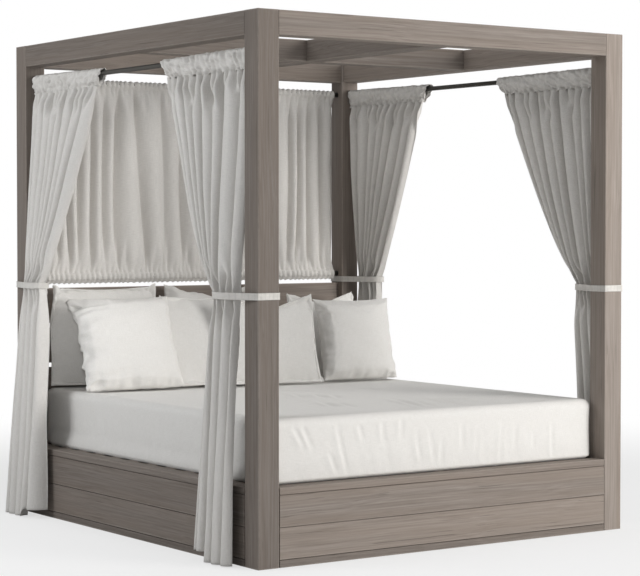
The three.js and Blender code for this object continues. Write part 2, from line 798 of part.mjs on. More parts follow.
// Rear curtain: one gathered sheet with a rod pocket at its top and another at its bottom.
function rearRing(share) {
  const levels = [
    [rearTop, rearClothHalf],
    [rearRodUpperHeight, rearPocketHalf],
    [rearUpperStitch, rearClothHalf],
    [(rearUpperStitch + rearLowerStitch) / 2, rearClothHalf],
    [rearLowerStitch, rearClothHalf],
    [rearRodLowerHeight, rearPocketHalf],
    [rearBottom, rearClothHalf],
  ];
  const wave = Math.sin(2 * Math.PI * rearFoldCount * share);
  const point = (height, half) => {
    const drop = Math.min(1, Math.max(0, (rearUpperStitch - height) / (rearUpperStitch - rearLowerStitch)));
    const belly = Math.sin(Math.PI * drop);
    const depth = rearRippleDepth + (rearFoldDepth - rearRippleDepth) * belly;
    const width = rearCurtainWidth - 2 * rearWaist * belly;
    return new THREE.Vector3(width * (share - 0.5), postY + half + depth * wave, height);
  };
  const rear = levels.map(([height, half]) => point(height, half));
  const front = levels.map(([height, half]) => point(height, -half)).reverse();
  return [...rear, ...front];
}

function makeRearCurtain() {
  const steps = rearFoldCount * stepsPerFold;
  const rings = [];
  for (let i = 0; i <= steps; i += 1) {
    rings.push(rearRing(i / steps));
  }
  let curtain = toSolid(loftRings(rings));
  for (const height of [rearRodUpperHeight, rearRodLowerHeight]) {
    const bore = new THREE.CylinderGeometry(rodRadius + fit, rodRadius + fit, bedWidth, rodSides);
    bore.rotateZ(Math.PI / 2);
    bore.translate(0, postY, height);
    curtain = curtain.subtract(toSolid(bore));
  }
  return toGeometry(curtain);
}

addPiece(bed, 'rear_curtain', makeRearCurtain(), makeCurtainCloth());

// Mattress
const mattressFront = -bedLength / 2 + mattressFrontInset;
const mattressBack = headboardY - headboardPlankThickness / 2 - mattressHeadGap;
const mattressLength = mattressBack - mattressFront;
const mattressMiddle = (mattressBack + mattressFront) / 2;

// A rounded rectangle inset from the mattress's outline, as a ring from one side to the other.
function mattressRing(inset, height) {
  const halfX = mattressWidth / 2 - inset;
  const halfY = mattressLength / 2 - inset;
  const radius = Math.max(mattressCornerRadius - inset / 2, mattressCornerRadius / 2);
  const steps = 4;
  const points = [];
  for (const [sx, sy, start] of [[1, -1, -90], [1, 1, 0], [-1, 1, 90], [-1, -1, 180]]) {
    for (let i = 0; i <= steps; i += 1) {
      const angle = (start + 90 * i / steps) * degree;
      points.push(new THREE.Vector3(
        sx * (halfX - radius) + radius * Math.cos(angle),
        mattressMiddle + sy * (halfY - radius) + radius * Math.sin(angle),
        height));
    }
  }
  return points;
}

function makeMattress() {
  const bottom = capTop + fit;
  const r = mattressEdgeRadius;
  const corner = r * (1 - Math.SQRT1_2);
  const middle = (bottom + mattressTop) / 2;
  return loftRings([
    mattressRing(r, bottom),
    mattressRing(corner, bottom + corner),
    mattressRing(0, bottom + r),
    mattressRing(mattressSideDraw, middle),
    mattressRing(0, mattressTop - r),
    mattressRing(corner, mattressTop - corner),
    mattressRing(r, mattressTop),
  ]);
}

addPiece(bed, 'mattress', makeMattress(), makeCoverCloth());

function onPillowEdge(i, j) {
  return i === 0 || j === 0 || i === pillowCells || j === pillowCells;
}

// A point of a pillow's face in the pillow's own terms. The pillow stands in the XZ plane: its
// sides are drawn in between the corners, it is crowned in the middle, and a chopped pillow dips
// along its upper edge, which pulls its upper corners together.
function pillowPoint({ width, height }, chop, i, j, face) {
  const u = Math.sin(Math.PI * (i / pillowCells - 0.5));
  const v = Math.sin(Math.PI * (j / pillowCells - 0.5));
  const crown = ((1 - u * u) * (1 - v * v)) ** pillowCrownPower;
  const drawU = 1 - pillowDrawShare * (1 - v * v) * u * u;
  const drawV = 1 - pillowDrawShare * (1 - u * u) * v * v;
  const above = Math.max(0, v) ** 2;
  const dip = chop * (1 - Math.abs(u)) * above;
  const pull = chopPullShare * chop * u * above;
  return new THREE.Vector3(
    width / 2 * u * drawU - pull,
    face * pillowThickness / 2 * crown,
    height / 2 * v * drawV - dip);
}

function makePillow(size, chop) {
  const positions = [];
  const numbers = new Map();
  for (const face of [-1, 1]) {
    for (let i = 0; i <= pillowCells; i += 1) {
      for (let j = 0; j <= pillowCells; j += 1) {
        if (face < 0 || !onPillowEdge(i, j)) {
          numbers.set(`${face} ${i} ${j}`, positions.length);
          positions.push(pillowPoint(size, chop, i, j, face));
        }
      }
    }
  }
  const at = (face, i, j) => numbers.get(`${onPillowEdge(i, j) ? -1 : face} ${i} ${j}`);
  const triangles = [];
  for (const face of [-1, 1]) {
    for (let i = 0; i < pillowCells; i += 1) {
      for (let j = 0; j < pillowCells; j += 1) {
        const [a, b, c, d] = [at(face, i, j), at(face, i + 1, j), at(face, i + 1, j + 1), at(face, i, j + 1)];
        const rising = (i < pillowCells / 2) === (j < pillowCells / 2);
        const pair = rising ? [[a, b, c], [a, c, d]] : [[a, b, d], [b, c, d]];
        pair.forEach(([p, q, r]) => triangles.push(...(face < 0 ? [p, q, r] : [p, r, q])));
      }
    }
  }
  return closedGeometry(positions, triangles);
}

for (const pillow of pillows) {
  const geometry = makePillow(pillow.size, pillow.chopShare * pillow.size.height);
  const mesh = addPiece(bed, pillow.name, geometry, makeCoverCloth());
  mesh.rotation.set(-pillow.lean * degree, 0, pillow.turn * degree, 'ZXY');
  mesh.updateMatrixWorld(true);
  const box = new THREE.Box3().setFromObject(mesh, true);
  mesh.position.set(
    pillow.acrossShare * mattressWidth,
    mattressBack - pillow.rows * pillowRowPitch,
    mattressTop + fit - box.min.z);
}

export default bed;
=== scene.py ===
# %% [markdown]
# # An outdoor daybed with a canopy
# The daybed is a teak frame of four posts with beams and crossing rafters on top, a boxed base with
# a slatted deck, a headboard of four planks, four side curtains tied back to the posts, a gathered
# rear curtain, one mattress and seven loose pillows. The rigid parts come from the CAD model and get
# their finish here. Everything of cloth is modelled again in this script, in the CAD's space.

# %% Load the frame and keep its box
import json
from math import cos, exp, hypot, pi, radians, sin, sqrt

import bmesh
import bpy
from mathutils import Matrix, Vector, noise


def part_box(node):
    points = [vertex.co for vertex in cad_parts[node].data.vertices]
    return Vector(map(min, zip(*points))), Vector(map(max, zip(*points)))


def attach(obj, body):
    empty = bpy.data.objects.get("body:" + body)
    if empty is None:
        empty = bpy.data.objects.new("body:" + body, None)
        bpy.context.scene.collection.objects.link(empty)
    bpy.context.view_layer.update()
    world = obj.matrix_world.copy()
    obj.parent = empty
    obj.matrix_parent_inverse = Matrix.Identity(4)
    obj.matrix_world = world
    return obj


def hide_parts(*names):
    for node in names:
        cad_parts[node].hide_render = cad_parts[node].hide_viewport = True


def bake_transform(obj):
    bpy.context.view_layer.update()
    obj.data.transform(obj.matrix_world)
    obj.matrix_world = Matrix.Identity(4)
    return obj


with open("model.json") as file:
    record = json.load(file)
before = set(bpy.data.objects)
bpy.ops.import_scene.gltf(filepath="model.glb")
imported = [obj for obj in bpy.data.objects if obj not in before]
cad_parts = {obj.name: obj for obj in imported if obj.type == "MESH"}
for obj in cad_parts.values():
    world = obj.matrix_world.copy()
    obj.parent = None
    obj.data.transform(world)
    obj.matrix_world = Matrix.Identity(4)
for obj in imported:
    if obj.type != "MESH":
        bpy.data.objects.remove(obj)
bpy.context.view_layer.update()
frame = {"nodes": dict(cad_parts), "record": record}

scene = bpy.context.scene
nodes = frame["nodes"]

# %% [markdown]
# ## Camera
# A photographer of furniture stands well back with a long lens, so that upright posts stay upright.
# The camera stands ten metres off the front left corner, at chest height, and looks slightly down.

# %% Camera
film_width, focal_length = 36, 113.32  # in millimetres
camera_place = (-5.8224, -8.4935, 1.4961)
looks_down, turned_right = 1.7447, 34.7408  # in degrees

camera_data = bpy.data.cameras.new("Camera")
camera_data.sensor_width = film_width
camera_data.lens = focal_length
camera_data.clip_end = 200
camera = bpy.data.objects.new("Camera", camera_data)
camera.location = camera_place
camera.rotation_euler = (radians(90 - looks_down), 0, radians(-turned_right))
scene.collection.objects.link(camera)
scene.camera = camera
scene.view_settings.view_transform = "Standard"
print("camera", tuple(round(c, 3) for c in camera.location), "lens", camera_data.lens)

# %% [markdown]
# ## Floor, background and light
# The daybed stands on white paper in a studio. The floor is a disc whose far part fades into pure
# white, so that no horizon shows, and its near part keeps the shadow. Inside the base the paper
# keeps its own shade, so that the gaps between the slats stay dark. One large lamp stands at the front
# right, because the faces towards it are the brightest. A smaller one, high on the left, rakes across
# the left curtains so that their folds show, and the left faces stay in half shade. A snoot, a lamp
# with a narrow beam, opens up the shade on the left pillows, and a weak lamp hangs overhead.

# %% Small helpers for materials
def fresh_material(name):
    """A material with nothing but its output node."""
    material = bpy.data.materials.new(name)
    material.use_nodes = True
    material.node_tree.nodes.clear()
    out = material.node_tree.nodes.new("ShaderNodeOutputMaterial")
    return material, material.node_tree, out


def add(tree, kind, **values):
    """A node with its properties and unlinked inputs set."""
    made = tree.nodes.new(kind)
    for key, value in values.items():
        if hasattr(made, key) and key not in made.inputs:
            setattr(made, key, value)
        else:
            made.inputs[key].default_value = value
    return made


def maths(tree, operation, a, b=None):
    """A Math node; a and b are numbers or output sockets."""
    made = tree.nodes.new("ShaderNodeMath")
    made.operation = operation
    for socket, value in zip(made.inputs, (a, b)):
        if value is None:
            continue
        if isinstance(value, bpy.types.NodeSocket):
            tree.links.new(value, socket)
        else:
            socket.default_value = value
    return made.outputs[0]


def band(tree, value, low, high, to_low=0.0, to_high=1.0):
    """A value remapped smoothly from low..high."""
    made = tree.nodes.new("ShaderNodeMapRange")
    made.interpolation_type = "SMOOTHSTEP"
    tree.links.new(value, made.inputs["Value"])
    for key, number in (("From Min", low), ("From Max", high), ("To Min", to_low), ("To Max", to_high)):
        made.inputs[key].default_value = number
    return made.outputs["Result"]


def seen_straight(tree):
    """1 where the camera sees a surface, also in metal or through glass, and 0 where light meets it."""
    rays = add(tree, "ShaderNodeLightPath")
    return maths(tree, "MAXIMUM", rays.outputs["Is Camera Ray"],
                 maths(tree, "MAXIMUM", rays.outputs["Is Glossy Ray"], rays.outputs["Is Transmission Ray"]))


def show_either(tree, factor, first, second, out):
    """Puts out the first shader where the factor is 0 and the second where it is 1."""
    both = add(tree, "ShaderNodeMixShader")
    tree.links.new(factor, both.inputs["Fac"])
    tree.links.new(first.outputs[0], both.inputs[1])
    tree.links.new(second.outputs[0], both.inputs[2])
    tree.links.new(both.outputs[0], out.inputs["Surface"])


def make_object(name, mesh, material):
    """An object at the origin from a finished bmesh."""
    data = bpy.data.meshes.new(name)
    mesh.to_mesh(data)
    mesh.free()
    made = bpy.data.objects.new(name, data)
    scene.collection.objects.link(made)
    data.materials.append(material)
    return made


print("helpers ready")

# %% Floor
floor_radius, floor_height = 30, -0.001
fade_starts, fade_ends, near_white = 2.2, 6.0, 0.64
base_inside_x, base_inside_y = (0.96, 1.0), (1.06, 1.1)


def make_floor():
    material, tree, out = fresh_material("Studio paper")
    place = add(tree, "ShaderNodeTexCoord")
    length = add(tree, "ShaderNodeVectorMath", operation="LENGTH")
    tree.links.new(place.outputs["Object"], length.inputs[0])
    far = band(tree, length.outputs["Value"], fade_starts, fade_ends)
    apart = tree.nodes.new("ShaderNodeSeparateXYZ")
    tree.links.new(place.outputs["Object"], apart.inputs[0])
    open_air = maths(tree, "MAXIMUM",
                     band(tree, maths(tree, "ABSOLUTE", apart.outputs["X"]), *base_inside_x),
                     band(tree, maths(tree, "ABSOLUTE", apart.outputs["Y"]), *base_inside_y))
    paper = add(tree, "ShaderNodeBsdfDiffuse", Color=(0.86, 0.86, 0.86, 1))
    glow = add(tree, "ShaderNodeEmission", Color=(1, 1, 1, 1), Strength=1.0)
    white = maths(tree, "ADD", maths(tree, "MULTIPLY", far, 1 - near_white), near_white)
    lift = maths(tree, "MULTIPLY", maths(tree, "MULTIPLY", seen_straight(tree), open_air), white)
    show_either(tree, lift, paper, glow, out)
    mesh = bmesh.new()
    bmesh.ops.create_circle(mesh, cap_ends=True, segments=96, radius=floor_radius)
    floor = make_object("Floor", mesh, material)
    floor.data.transform(Matrix.Translation((0, 0, floor_height)))


make_floor()
print("floor ready")

# %% World and lamps
def make_world(ambient):
    world = bpy.data.worlds.new("Studio")
    scene.world = world
    world.use_nodes = True
    tree = world.node_tree
    tree.nodes.clear()
    out = tree.nodes.new("ShaderNodeOutputWorld")
    soft = add(tree, "ShaderNodeBackground", Color=(0.97, 0.985, 1, 1), Strength=ambient)
    white = add(tree, "ShaderNodeBackground", Color=(1, 1, 1, 1), Strength=1.0)
    show_either(tree, seen_straight(tree), soft, white, out)


def make_lamp(name, place, target, size, watts, colour=(1, 1, 1), spread=180):
    """A round lamp at a place, turned to a target; spread is its beam's angle in degrees."""
    data = bpy.data.lights.new(name, "AREA")
    data.shape = "DISK"
    data.size = size
    data.energy = watts
    data.color = colour
    data.spread = radians(spread)
    lamp = bpy.data.objects.new(name, data)
    lamp.location = place
    lamp.rotation_euler = (Vector(target) - Vector(place)).to_track_quat("-Z", "Y").to_euler()
    scene.collection.objects.link(lamp)


make_world(0.25)
make_lamp("Key", (4.2, -8.3, 3.1), (0.2, -0.5, 1.1), 4.7, 660, (1, 0.985, 0.965))
make_lamp("Left", (-4.6, 0.6, 3.0), (-0.9, 0.0, 1.3), 2.4, 80, (0.97, 0.985, 1))
make_lamp("Snoot", (-5.4, -7.6, 2.2), (-0.89, 0.98, 0.94), 0.8, 0.38, spread=9)
make_lamp("Top", (0.6, -0.5, 6.5), (0, 0, 1), 4.0, 55)

# %% [markdown]
# ## Weathered timber
# The frame is teak left outdoors: grey-brown, with fine long fibres, broader light and dark streaks,
# short dark checks, and edges that the weather and hands have worn pale. The grain could be an image,
# but a group of stretched noises runs along any board at the same scale, so it is built once and
# turned for each board. A second group finds a board's edges from its box.

# %% The grain group
def make_group(name, inputs, outputs):
    """An empty node group with its sockets, as (tree, input node, output node)."""
    tree = bpy.data.node_groups.new(name, "ShaderNodeTree")
    for label, kind, value in inputs:
        socket = tree.interface.new_socket(label, in_out="INPUT", socket_type=kind)
        if value is not None:
            socket.default_value = value
    for label, kind in outputs:
        tree.interface.new_socket(label, in_out="OUTPUT", socket_type=kind)
    return tree, tree.nodes.new("NodeGroupInput"), tree.nodes.new("NodeGroupOutput")


def stretched(tree, vector, scale, detail, rough=0.55, distort=0.0):
    """A noise stretched by a different scale along each axis."""
    stretch = add(tree, "ShaderNodeVectorMath", operation="MULTIPLY")
    tree.links.new(vector, stretch.inputs[0])
    stretch.inputs[1].default_value = scale
    made = add(tree, "ShaderNodeTexNoise", Scale=1.0, Detail=detail, Roughness=rough, Distortion=distort)
    tree.links.new(stretch.outputs[0], made.inputs["Vector"])
    return made.outputs["Fac"]


def make_grain():
    tree, enter, leave = make_group(
        "Timber grain",
        [("Vector", "NodeSocketVector", None), ("Checks", "NodeSocketFloat", 0.5)],
        [("Streaks", "NodeSocketFloat"), ("Tone", "NodeSocketFloat"), ("Cracks", "NodeSocketFloat"),
         ("Height", "NodeSocketFloat")])
    bend = stretched(tree, enter.outputs["Vector"], (0.9, 5, 5), 2.0)
    lift = maths(tree, "MULTIPLY", maths(tree, "SUBTRACT", bend, 0.5), 0.05)
    shift = add(tree, "ShaderNodeCombineXYZ")
    tree.links.new(lift, shift.inputs["Y"])
    tree.links.new(lift, shift.inputs["Z"])
    bent = add(tree, "ShaderNodeVectorMath", operation="ADD")
    tree.links.new(enter.outputs["Vector"], bent.inputs[0])
    tree.links.new(shift.outputs[0], bent.inputs[1])
    fibre = stretched(tree, bent.outputs[0], (5, 420, 420), 3.0, 0.6)
    streak = stretched(tree, bent.outputs[0], (1.5, 120, 120), 4.0, 0.6)
    broad = stretched(tree, bent.outputs[0], (0.45, 11, 11), 3.0, 0.5)
    check = stretched(tree, bent.outputs[0], (2.2, 150, 150), 2.0, 0.5)
    both = maths(tree, "ADD", maths(tree, "MULTIPLY", fibre, 0.38), maths(tree, "MULTIPLY", streak, 0.62))
    cracks = maths(tree, "MULTIPLY", band(tree, check, 0.34, 0.27), enter.outputs["Checks"])
    tree.links.new(both, leave.inputs["Streaks"])
    tree.links.new(broad, leave.inputs["Tone"])
    tree.links.new(cracks, leave.inputs["Cracks"])
    tree.links.new(maths(tree, "SUBTRACT", both, cracks), leave.inputs["Height"])
    return tree


grain_group = make_grain()
print("group", grain_group.name, len(grain_group.nodes), "nodes")

# %% The edge wear group
def make_edge_wear():
    tree, enter, leave = make_group(
        "Worn edges",
        [("Vector", "NodeSocketVector", None), ("Low", "NodeSocketVector", (0, 0, 0)),
         ("High", "NodeSocketVector", (1, 1, 1)), ("Width", "NodeSocketFloat", 0.006)],
        [("Mask", "NodeSocketFloat")])
    above = add(tree, "ShaderNodeVectorMath", operation="SUBTRACT")
    below = add(tree, "ShaderNodeVectorMath", operation="SUBTRACT")
    tree.links.new(enter.outputs["Vector"], above.inputs[0])
    tree.links.new(enter.outputs["Low"], above.inputs[1])
    tree.links.new(enter.outputs["High"], below.inputs[0])
    tree.links.new(enter.outputs["Vector"], below.inputs[1])
    nearest = add(tree, "ShaderNodeVectorMath", operation="MINIMUM")
    tree.links.new(above.outputs[0], nearest.inputs[0])
    tree.links.new(below.outputs[0], nearest.inputs[1])
    parts = add(tree, "ShaderNodeSeparateXYZ")
    tree.links.new(nearest.outputs[0], parts.inputs[0])
    x, y, z = parts.outputs
    second = maths(tree, "MAXIMUM", maths(tree, "MINIMUM", x, y),
                   maths(tree, "MINIMUM", maths(tree, "MAXIMUM", x, y), z))
    ragged = stretched(tree, enter.outputs["Vector"], (38, 38, 38), 4.0, 0.65)
    reach = maths(tree, "MULTIPLY", enter.outputs["Width"], maths(tree, "MULTIPLY", ragged, 2.0))
    share = maths(tree, "DIVIDE", second, maths(tree, "MAXIMUM", reach, 0.0001))
    tree.links.new(band(tree, share, 1.0, 0.25), leave.inputs["Mask"])
    return tree


edge_wear_group = make_edge_wear()
print("group", edge_wear_group.name, len(edge_wear_group.nodes), "nodes")

# %% Parts that every material uses
def colour_steps(tree, factor, steps):
    ramp = tree.nodes.new("ShaderNodeValToRGB")
    while len(ramp.color_ramp.elements) < len(steps):
        ramp.color_ramp.elements.new(0.5)
    for element, (place, colour) in zip(ramp.color_ramp.elements, steps):
        element.position = place
        element.color = (*colour, 1)
    tree.links.new(factor, ramp.inputs["Fac"])
    return ramp.outputs["Color"]


def mix_colour(tree, factor, a, b):
    made = tree.nodes.new("ShaderNodeMix")
    made.data_type = "RGBA"
    for index, value in ((0, factor), (6, a), (7, b)):
        if isinstance(value, bpy.types.NodeSocket):
            tree.links.new(value, made.inputs[index])
        else:
            made.inputs[index].default_value = value
    return made.outputs[2]


def place_group(tree, group, **links):
    made = tree.nodes.new("ShaderNodeGroup")
    made.node_tree = group
    for key, value in links.items():
        if isinstance(value, bpy.types.NodeSocket):
            tree.links.new(value, made.inputs[key])
        else:
            made.inputs[key].default_value = value
    return made


def surface(tree, out, colour, roughness, normal, **values):
    """A Principled shader with its colour, roughness and normal linked and other inputs set."""
    shader = add(tree, "ShaderNodeBsdfPrincipled", **values)
    tree.links.new(colour, shader.inputs["Base Color"])
    tree.links.new(roughness, shader.inputs["Roughness"])
    tree.links.new(normal, shader.inputs["Normal"])
    tree.links.new(shader.outputs[0], out.inputs["Surface"])


def finish_node(name, material):
    """Gives a CAD node its material in place of the plain one."""
    nodes[name].data.materials.clear()
    nodes[name].data.materials.append(material)


print("material helpers ready")

# %% One timber material, turned and shifted for each board
grain_turns = {"X": (0, 0, 0), "Y": (0, 0, -pi / 2), "Z": (0, pi / 2, 0)}
dark_fibre, mid_fibre, pale_fibre = (0.172, 0.143, 0.121), (0.240, 0.206, 0.181), (0.318, 0.280, 0.251)
warm_patch, check_colour, worn_colour = (0.262, 0.213, 0.176), (0.06, 0.047, 0.038), (0.36, 0.32, 0.285)
check_strength, wear_strength, wear_width = 0.75, 0.315, 0.007


def make_timber(name, run, low, high, shift, light):
    """Weathered teak with its grain along run; light makes the board paler or darker, and on some boards it
    holds painted shade or painted light.
    """
    material, tree, out = fresh_material(name)
    place = add(tree, "ShaderNodeTexCoord")
    turn = add(tree, "ShaderNodeMapping", Rotation=grain_turns[run],
               Location=(shift, 0.37 * shift, 0.61 * shift))
    tree.links.new(place.outputs["Object"], turn.inputs["Vector"])
    grain = place_group(tree, grain_group, Vector=turn.outputs[0], Checks=0.6)
    worn = place_group(tree, edge_wear_group, Vector=place.outputs["Object"], Low=low, High=high,
                       Width=wear_width)
    dark, mid, pale, warm = [[c * light for c in colour]
                             for colour in (dark_fibre, mid_fibre, pale_fibre, warm_patch)]
    fibres = colour_steps(tree, grain.outputs["Streaks"], [(0.30, dark), (0.5, mid), (0.70, pale)])
    tinted = mix_colour(tree, band(tree, grain.outputs["Tone"], 0.35, 0.66, 0.0, 0.42), fibres, (*warm, 1))
    checked = mix_colour(tree, maths(tree, "MULTIPLY", grain.outputs["Cracks"], check_strength), tinted,
                         (*check_colour, 1))
    edged = mix_colour(tree, maths(tree, "MULTIPLY", worn.outputs["Mask"], wear_strength), checked,
                       (*worn_colour, 1))
    bump = add(tree, "ShaderNodeBump", Strength=0.55, Distance=0.0012)
    tree.links.new(grain.outputs["Height"], bump.inputs["Height"])
    roughness = band(tree, grain.outputs["Streaks"], 0.3, 0.7, 0.82, 0.66)
    surface(tree, out, edged, roughness, bump.outputs[0], **{"Specular IOR Level": 0.28})
    return material


def board_run(name):
    """The axis a board's grain follows: its longest side."""
    low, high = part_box(name)
    size = high - low
    return "XYZ"[max(range(3), key=lambda k: size[k])]


# How pale each kind of board is. The rafters and the boards on the left are set darker than the same timber
# would be, which is painted shade, and one post paler, which is painted light, to come nearer to the light
# and shade of the photograph.
board_tones_with_painted_shade = {"post": 0.94, "beam": 0.95, "rafter": 0.77, "cap": 0.94, "upper": 0.95, "lower": 1.02,
                 "bottom": 0.8, "headboard": 0.95, "deck": 0.92, "slat": 0.92}
painted_light_and_shade_boards, left_painted_shade = {"beam_left": 0.68, "post_front_right": 1.18}, 0.80
timber_names = sorted(n for n in nodes if n.split("_")[0] in board_tones_with_painted_shade)
for number, name in enumerate(timber_names):
    low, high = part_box(name)
    tone_with_painted_light = board_tones_with_painted_shade[name.split("_")[0]] * (1 + 0.05 * sin(2.4 * number))
    # Painted light and shade: the left boards and the left beam are made darker, and the front right post
    # paler.
    tone_with_painted_light *= painted_light_and_shade_boards.get(name, left_painted_shade if name.endswith("_left") else 1.0)
    run = "X" if name == "slat_deck" else board_run(name)
    teak = make_timber("Teak " + name.replace("_", " "), run, low, high, 1.7 * number, tone_with_painted_light)
    finish_node(name, teak)
print(len(timber_names), "timber nodes finished")

# %% [markdown]
# ## Curtain rods
# The rods and their flanges are drawn tube with a dark bronze finish. It is a coated metal, so its
# gloss is soft and slightly uneven, and the turned flanges catch a thin light line.

# %% Rod metal
def make_rod_metal():
    material, tree, out = fresh_material("Dark bronze")
    place = add(tree, "ShaderNodeTexCoord")
    mottle = stretched(tree, place.outputs["Object"], (26, 26, 26), 4.0, 0.6)
    fine = stretched(tree, place.outputs["Object"], (300, 300, 300), 3.0, 0.6)
    colour = colour_steps(tree, mottle, [(0.3, (0.030, 0.029, 0.026)), (0.7, (0.062, 0.058, 0.050))])
    bump = add(tree, "ShaderNodeBump", Strength=0.25, Distance=0.0004)
    tree.links.new(fine, bump.inputs["Height"])
    surface(tree, out, colour, band(tree, mottle, 0.3, 0.7, 0.36, 0.52), bump.outputs[0], Metallic=0.75)
    return material


rod_metal = make_rod_metal()
rod_names = [n for n in nodes if n.startswith("rod_")]
for name in rod_names:
    finish_node(name, rod_metal)
print("rods finished:", rod_names)

# %% [markdown]
# ## Woven cloth
# Curtains, ties and covers are plain weave: threads over and under each other about a millimetre
# apart, with a slubby, slightly blotched tone. The pattern follows the cloth, so it reads the cloth's
# own UV map, which is laid out in metres. Two crossed waves make the threads, and the same group
# serves every cloth with its own thread width.

# %% The weave group
def make_weave():
    tree, enter, leave = make_group(
        "Plain weave",
        [("Vector", "NodeSocketVector", None), ("Thread", "NodeSocketFloat", 0.001)],
        [("Height", "NodeSocketFloat"), ("Gap shade", "NodeSocketFloat"), ("Slub", "NodeSocketFloat"),
         ("Blotch", "NodeSocketFloat"), ("Crumple", "NodeSocketFloat")])
    scaled = add(tree, "ShaderNodeVectorMath", operation="SCALE")
    tree.links.new(enter.outputs["Vector"], scaled.inputs[0])
    tree.links.new(maths(tree, "DIVIDE", pi, enter.outputs["Thread"]), scaled.inputs["Scale"])
    parts = add(tree, "ShaderNodeSeparateXYZ")
    tree.links.new(scaled.outputs[0], parts.inputs[0])
    across = maths(tree, "SINE", parts.outputs[0])
    along = maths(tree, "SINE", parts.outputs[1])
    crossed = maths(tree, "MULTIPLY", across, along)
    # Painted shade: this marks the gaps between the threads, which are darkened in the cloth's colour.
    thread_gap_shade = maths(tree, "MULTIPLY", maths(tree, "ABSOLUTE", across), maths(tree, "ABSOLUTE", along))
    slub_a = stretched(tree, enter.outputs["Vector"], (30, 900, 1), 2.0)
    slub_b = stretched(tree, enter.outputs["Vector"], (900, 30, 1), 2.0)
    slub = maths(tree, "MULTIPLY", maths(tree, "ADD", slub_a, slub_b), 0.5)
    blotch = stretched(tree, enter.outputs["Vector"], (9, 9, 9), 4.0, 0.6)
    soft = stretched(tree, enter.outputs["Vector"], (7, 11, 7), 3.0, 0.5, 0.8)
    ridge = maths(tree, "ABSOLUTE", maths(tree, "SUBTRACT", soft, 0.5))
    crumple = maths(tree, "SUBTRACT", 1.0, maths(tree, "MULTIPLY", ridge, 4.0))
    for value, label in ((crossed, "Height"), (thread_gap_shade, "Gap shade"), (slub, "Slub"), (blotch, "Blotch"),
                         (crumple, "Crumple")):
        tree.links.new(value, leave.inputs[label])
    return tree


weave_group = make_weave()
print("group", weave_group.name, len(weave_group.nodes), "nodes")

# %% Cloth materials
def make_cloth(name, dark, pale, thread, sheen, bump_height, crumple):
    """A plain weave from a dark to a pale thread; lengths in metres."""
    material, tree, out = fresh_material(name)
    cloth_map = add(tree, "ShaderNodeUVMap", uv_map="Cloth")
    weave = place_group(tree, weave_group, Vector=cloth_map.outputs[0], Thread=thread)
    threads = colour_steps(tree, weave.outputs["Slub"], [(0.38, dark), (0.62, pale)])
    blotch = band(tree, weave.outputs["Blotch"], 0.3, 0.7, 0.0, 0.16)
    blotched = mix_colour(tree, blotch, threads, (*dark, 1))
    # Painted shade: the cloth's colour is darkened in the gaps between the threads.
    gap_shaded = mix_colour(tree, band(tree, weave.outputs["Gap shade"], 0.35, 0.0, 0.0, 0.22), blotched,
                        (*[c * 0.55 for c in dark], 1))
    bump = add(tree, "ShaderNodeBump", Strength=0.5, Distance=bump_height)
    tree.links.new(weave.outputs["Height"], bump.inputs["Height"])
    rumpled = add(tree, "ShaderNodeBump", Strength=0.6, Distance=crumple)
    tree.links.new(weave.outputs["Crumple"], rumpled.inputs["Height"])
    tree.links.new(bump.outputs[0], rumpled.inputs["Normal"])
    roughness = band(tree, weave.outputs["Slub"], 0.3, 0.7, 0.88, 0.80)
    surface(tree, out, gap_shaded, roughness, rumpled.outputs[0],
            **{"Sheen Weight": sheen, "Sheen Roughness": 0.5, "Specular IOR Level": 0.2})
    return material


curtain_cloth = make_cloth("Curtain cloth", (0.68, 0.66, 0.63), (0.80, 0.777, 0.746),
                           thread=0.0011, sheen=0.15, bump_height=0.0004, crumple=0.002)
tie_cloth = make_cloth("Tie cloth", (0.62, 0.60, 0.565), (0.74, 0.715, 0.68),
                       thread=0.0009, sheen=0.12, bump_height=0.0003, crumple=0.001)
cover_cloth = make_cloth("Cover cloth", (0.76, 0.745, 0.715), (0.86, 0.845, 0.82),
                         thread=0.0008, sheen=0.12, bump_height=0.0003, crumple=0.0013)
print("cloth", [m.name for m in (curtain_cloth, tie_cloth, cover_cloth)])

# %% [markdown]
# ## Side curtains
# Each corner has one curtain. Its top is sewn into a pocket that gathers on the rod, the cloth below
# falls in small pleats that merge into a few long folds, a band draws them together against the
# post, and under the band they flare out again to the ground. A hanging sheet could be simulated, but
# where it is pleated, tied and flared is known, so the sheet is a grid whose points are moved by
# a few plain rules: how wide and deep the cloth is at each height, and how its folds run. The rules
# don't keep the cloth's length: on a side drop, a row measured along its folds is much shorter below
# the tie than just under the pocket, where a real sheet has one width, and the flat width given for it
# lies in between.

# %% Sizes of the curtains, in metres
post_half, post_x, post_y = 0.055, 1.015, 1.115
pocket_top, pocket_bottom = 2.281, 2.187
pocket_back, pocket_slope, pocket_slope_share = 1.05, 0.062, 0.25
tie_height, tie_grip = 1.192, 0.018
bundle_offset, bundle_half_out, bundle_half_along, bundle_from_post = 0.063, 0.052, 0.097, 0.177
bundle_middle = post_y - bundle_from_post
drop_top, drop_half_depth = 2.193, 0.047
hem_height, hem_inner, hem_outer, hem_rise = 0.004, 1.074, 1.068, 0.042
curtain_wall, pocket_wall, tie_wall = 0.0025, 0.002, 0.0018

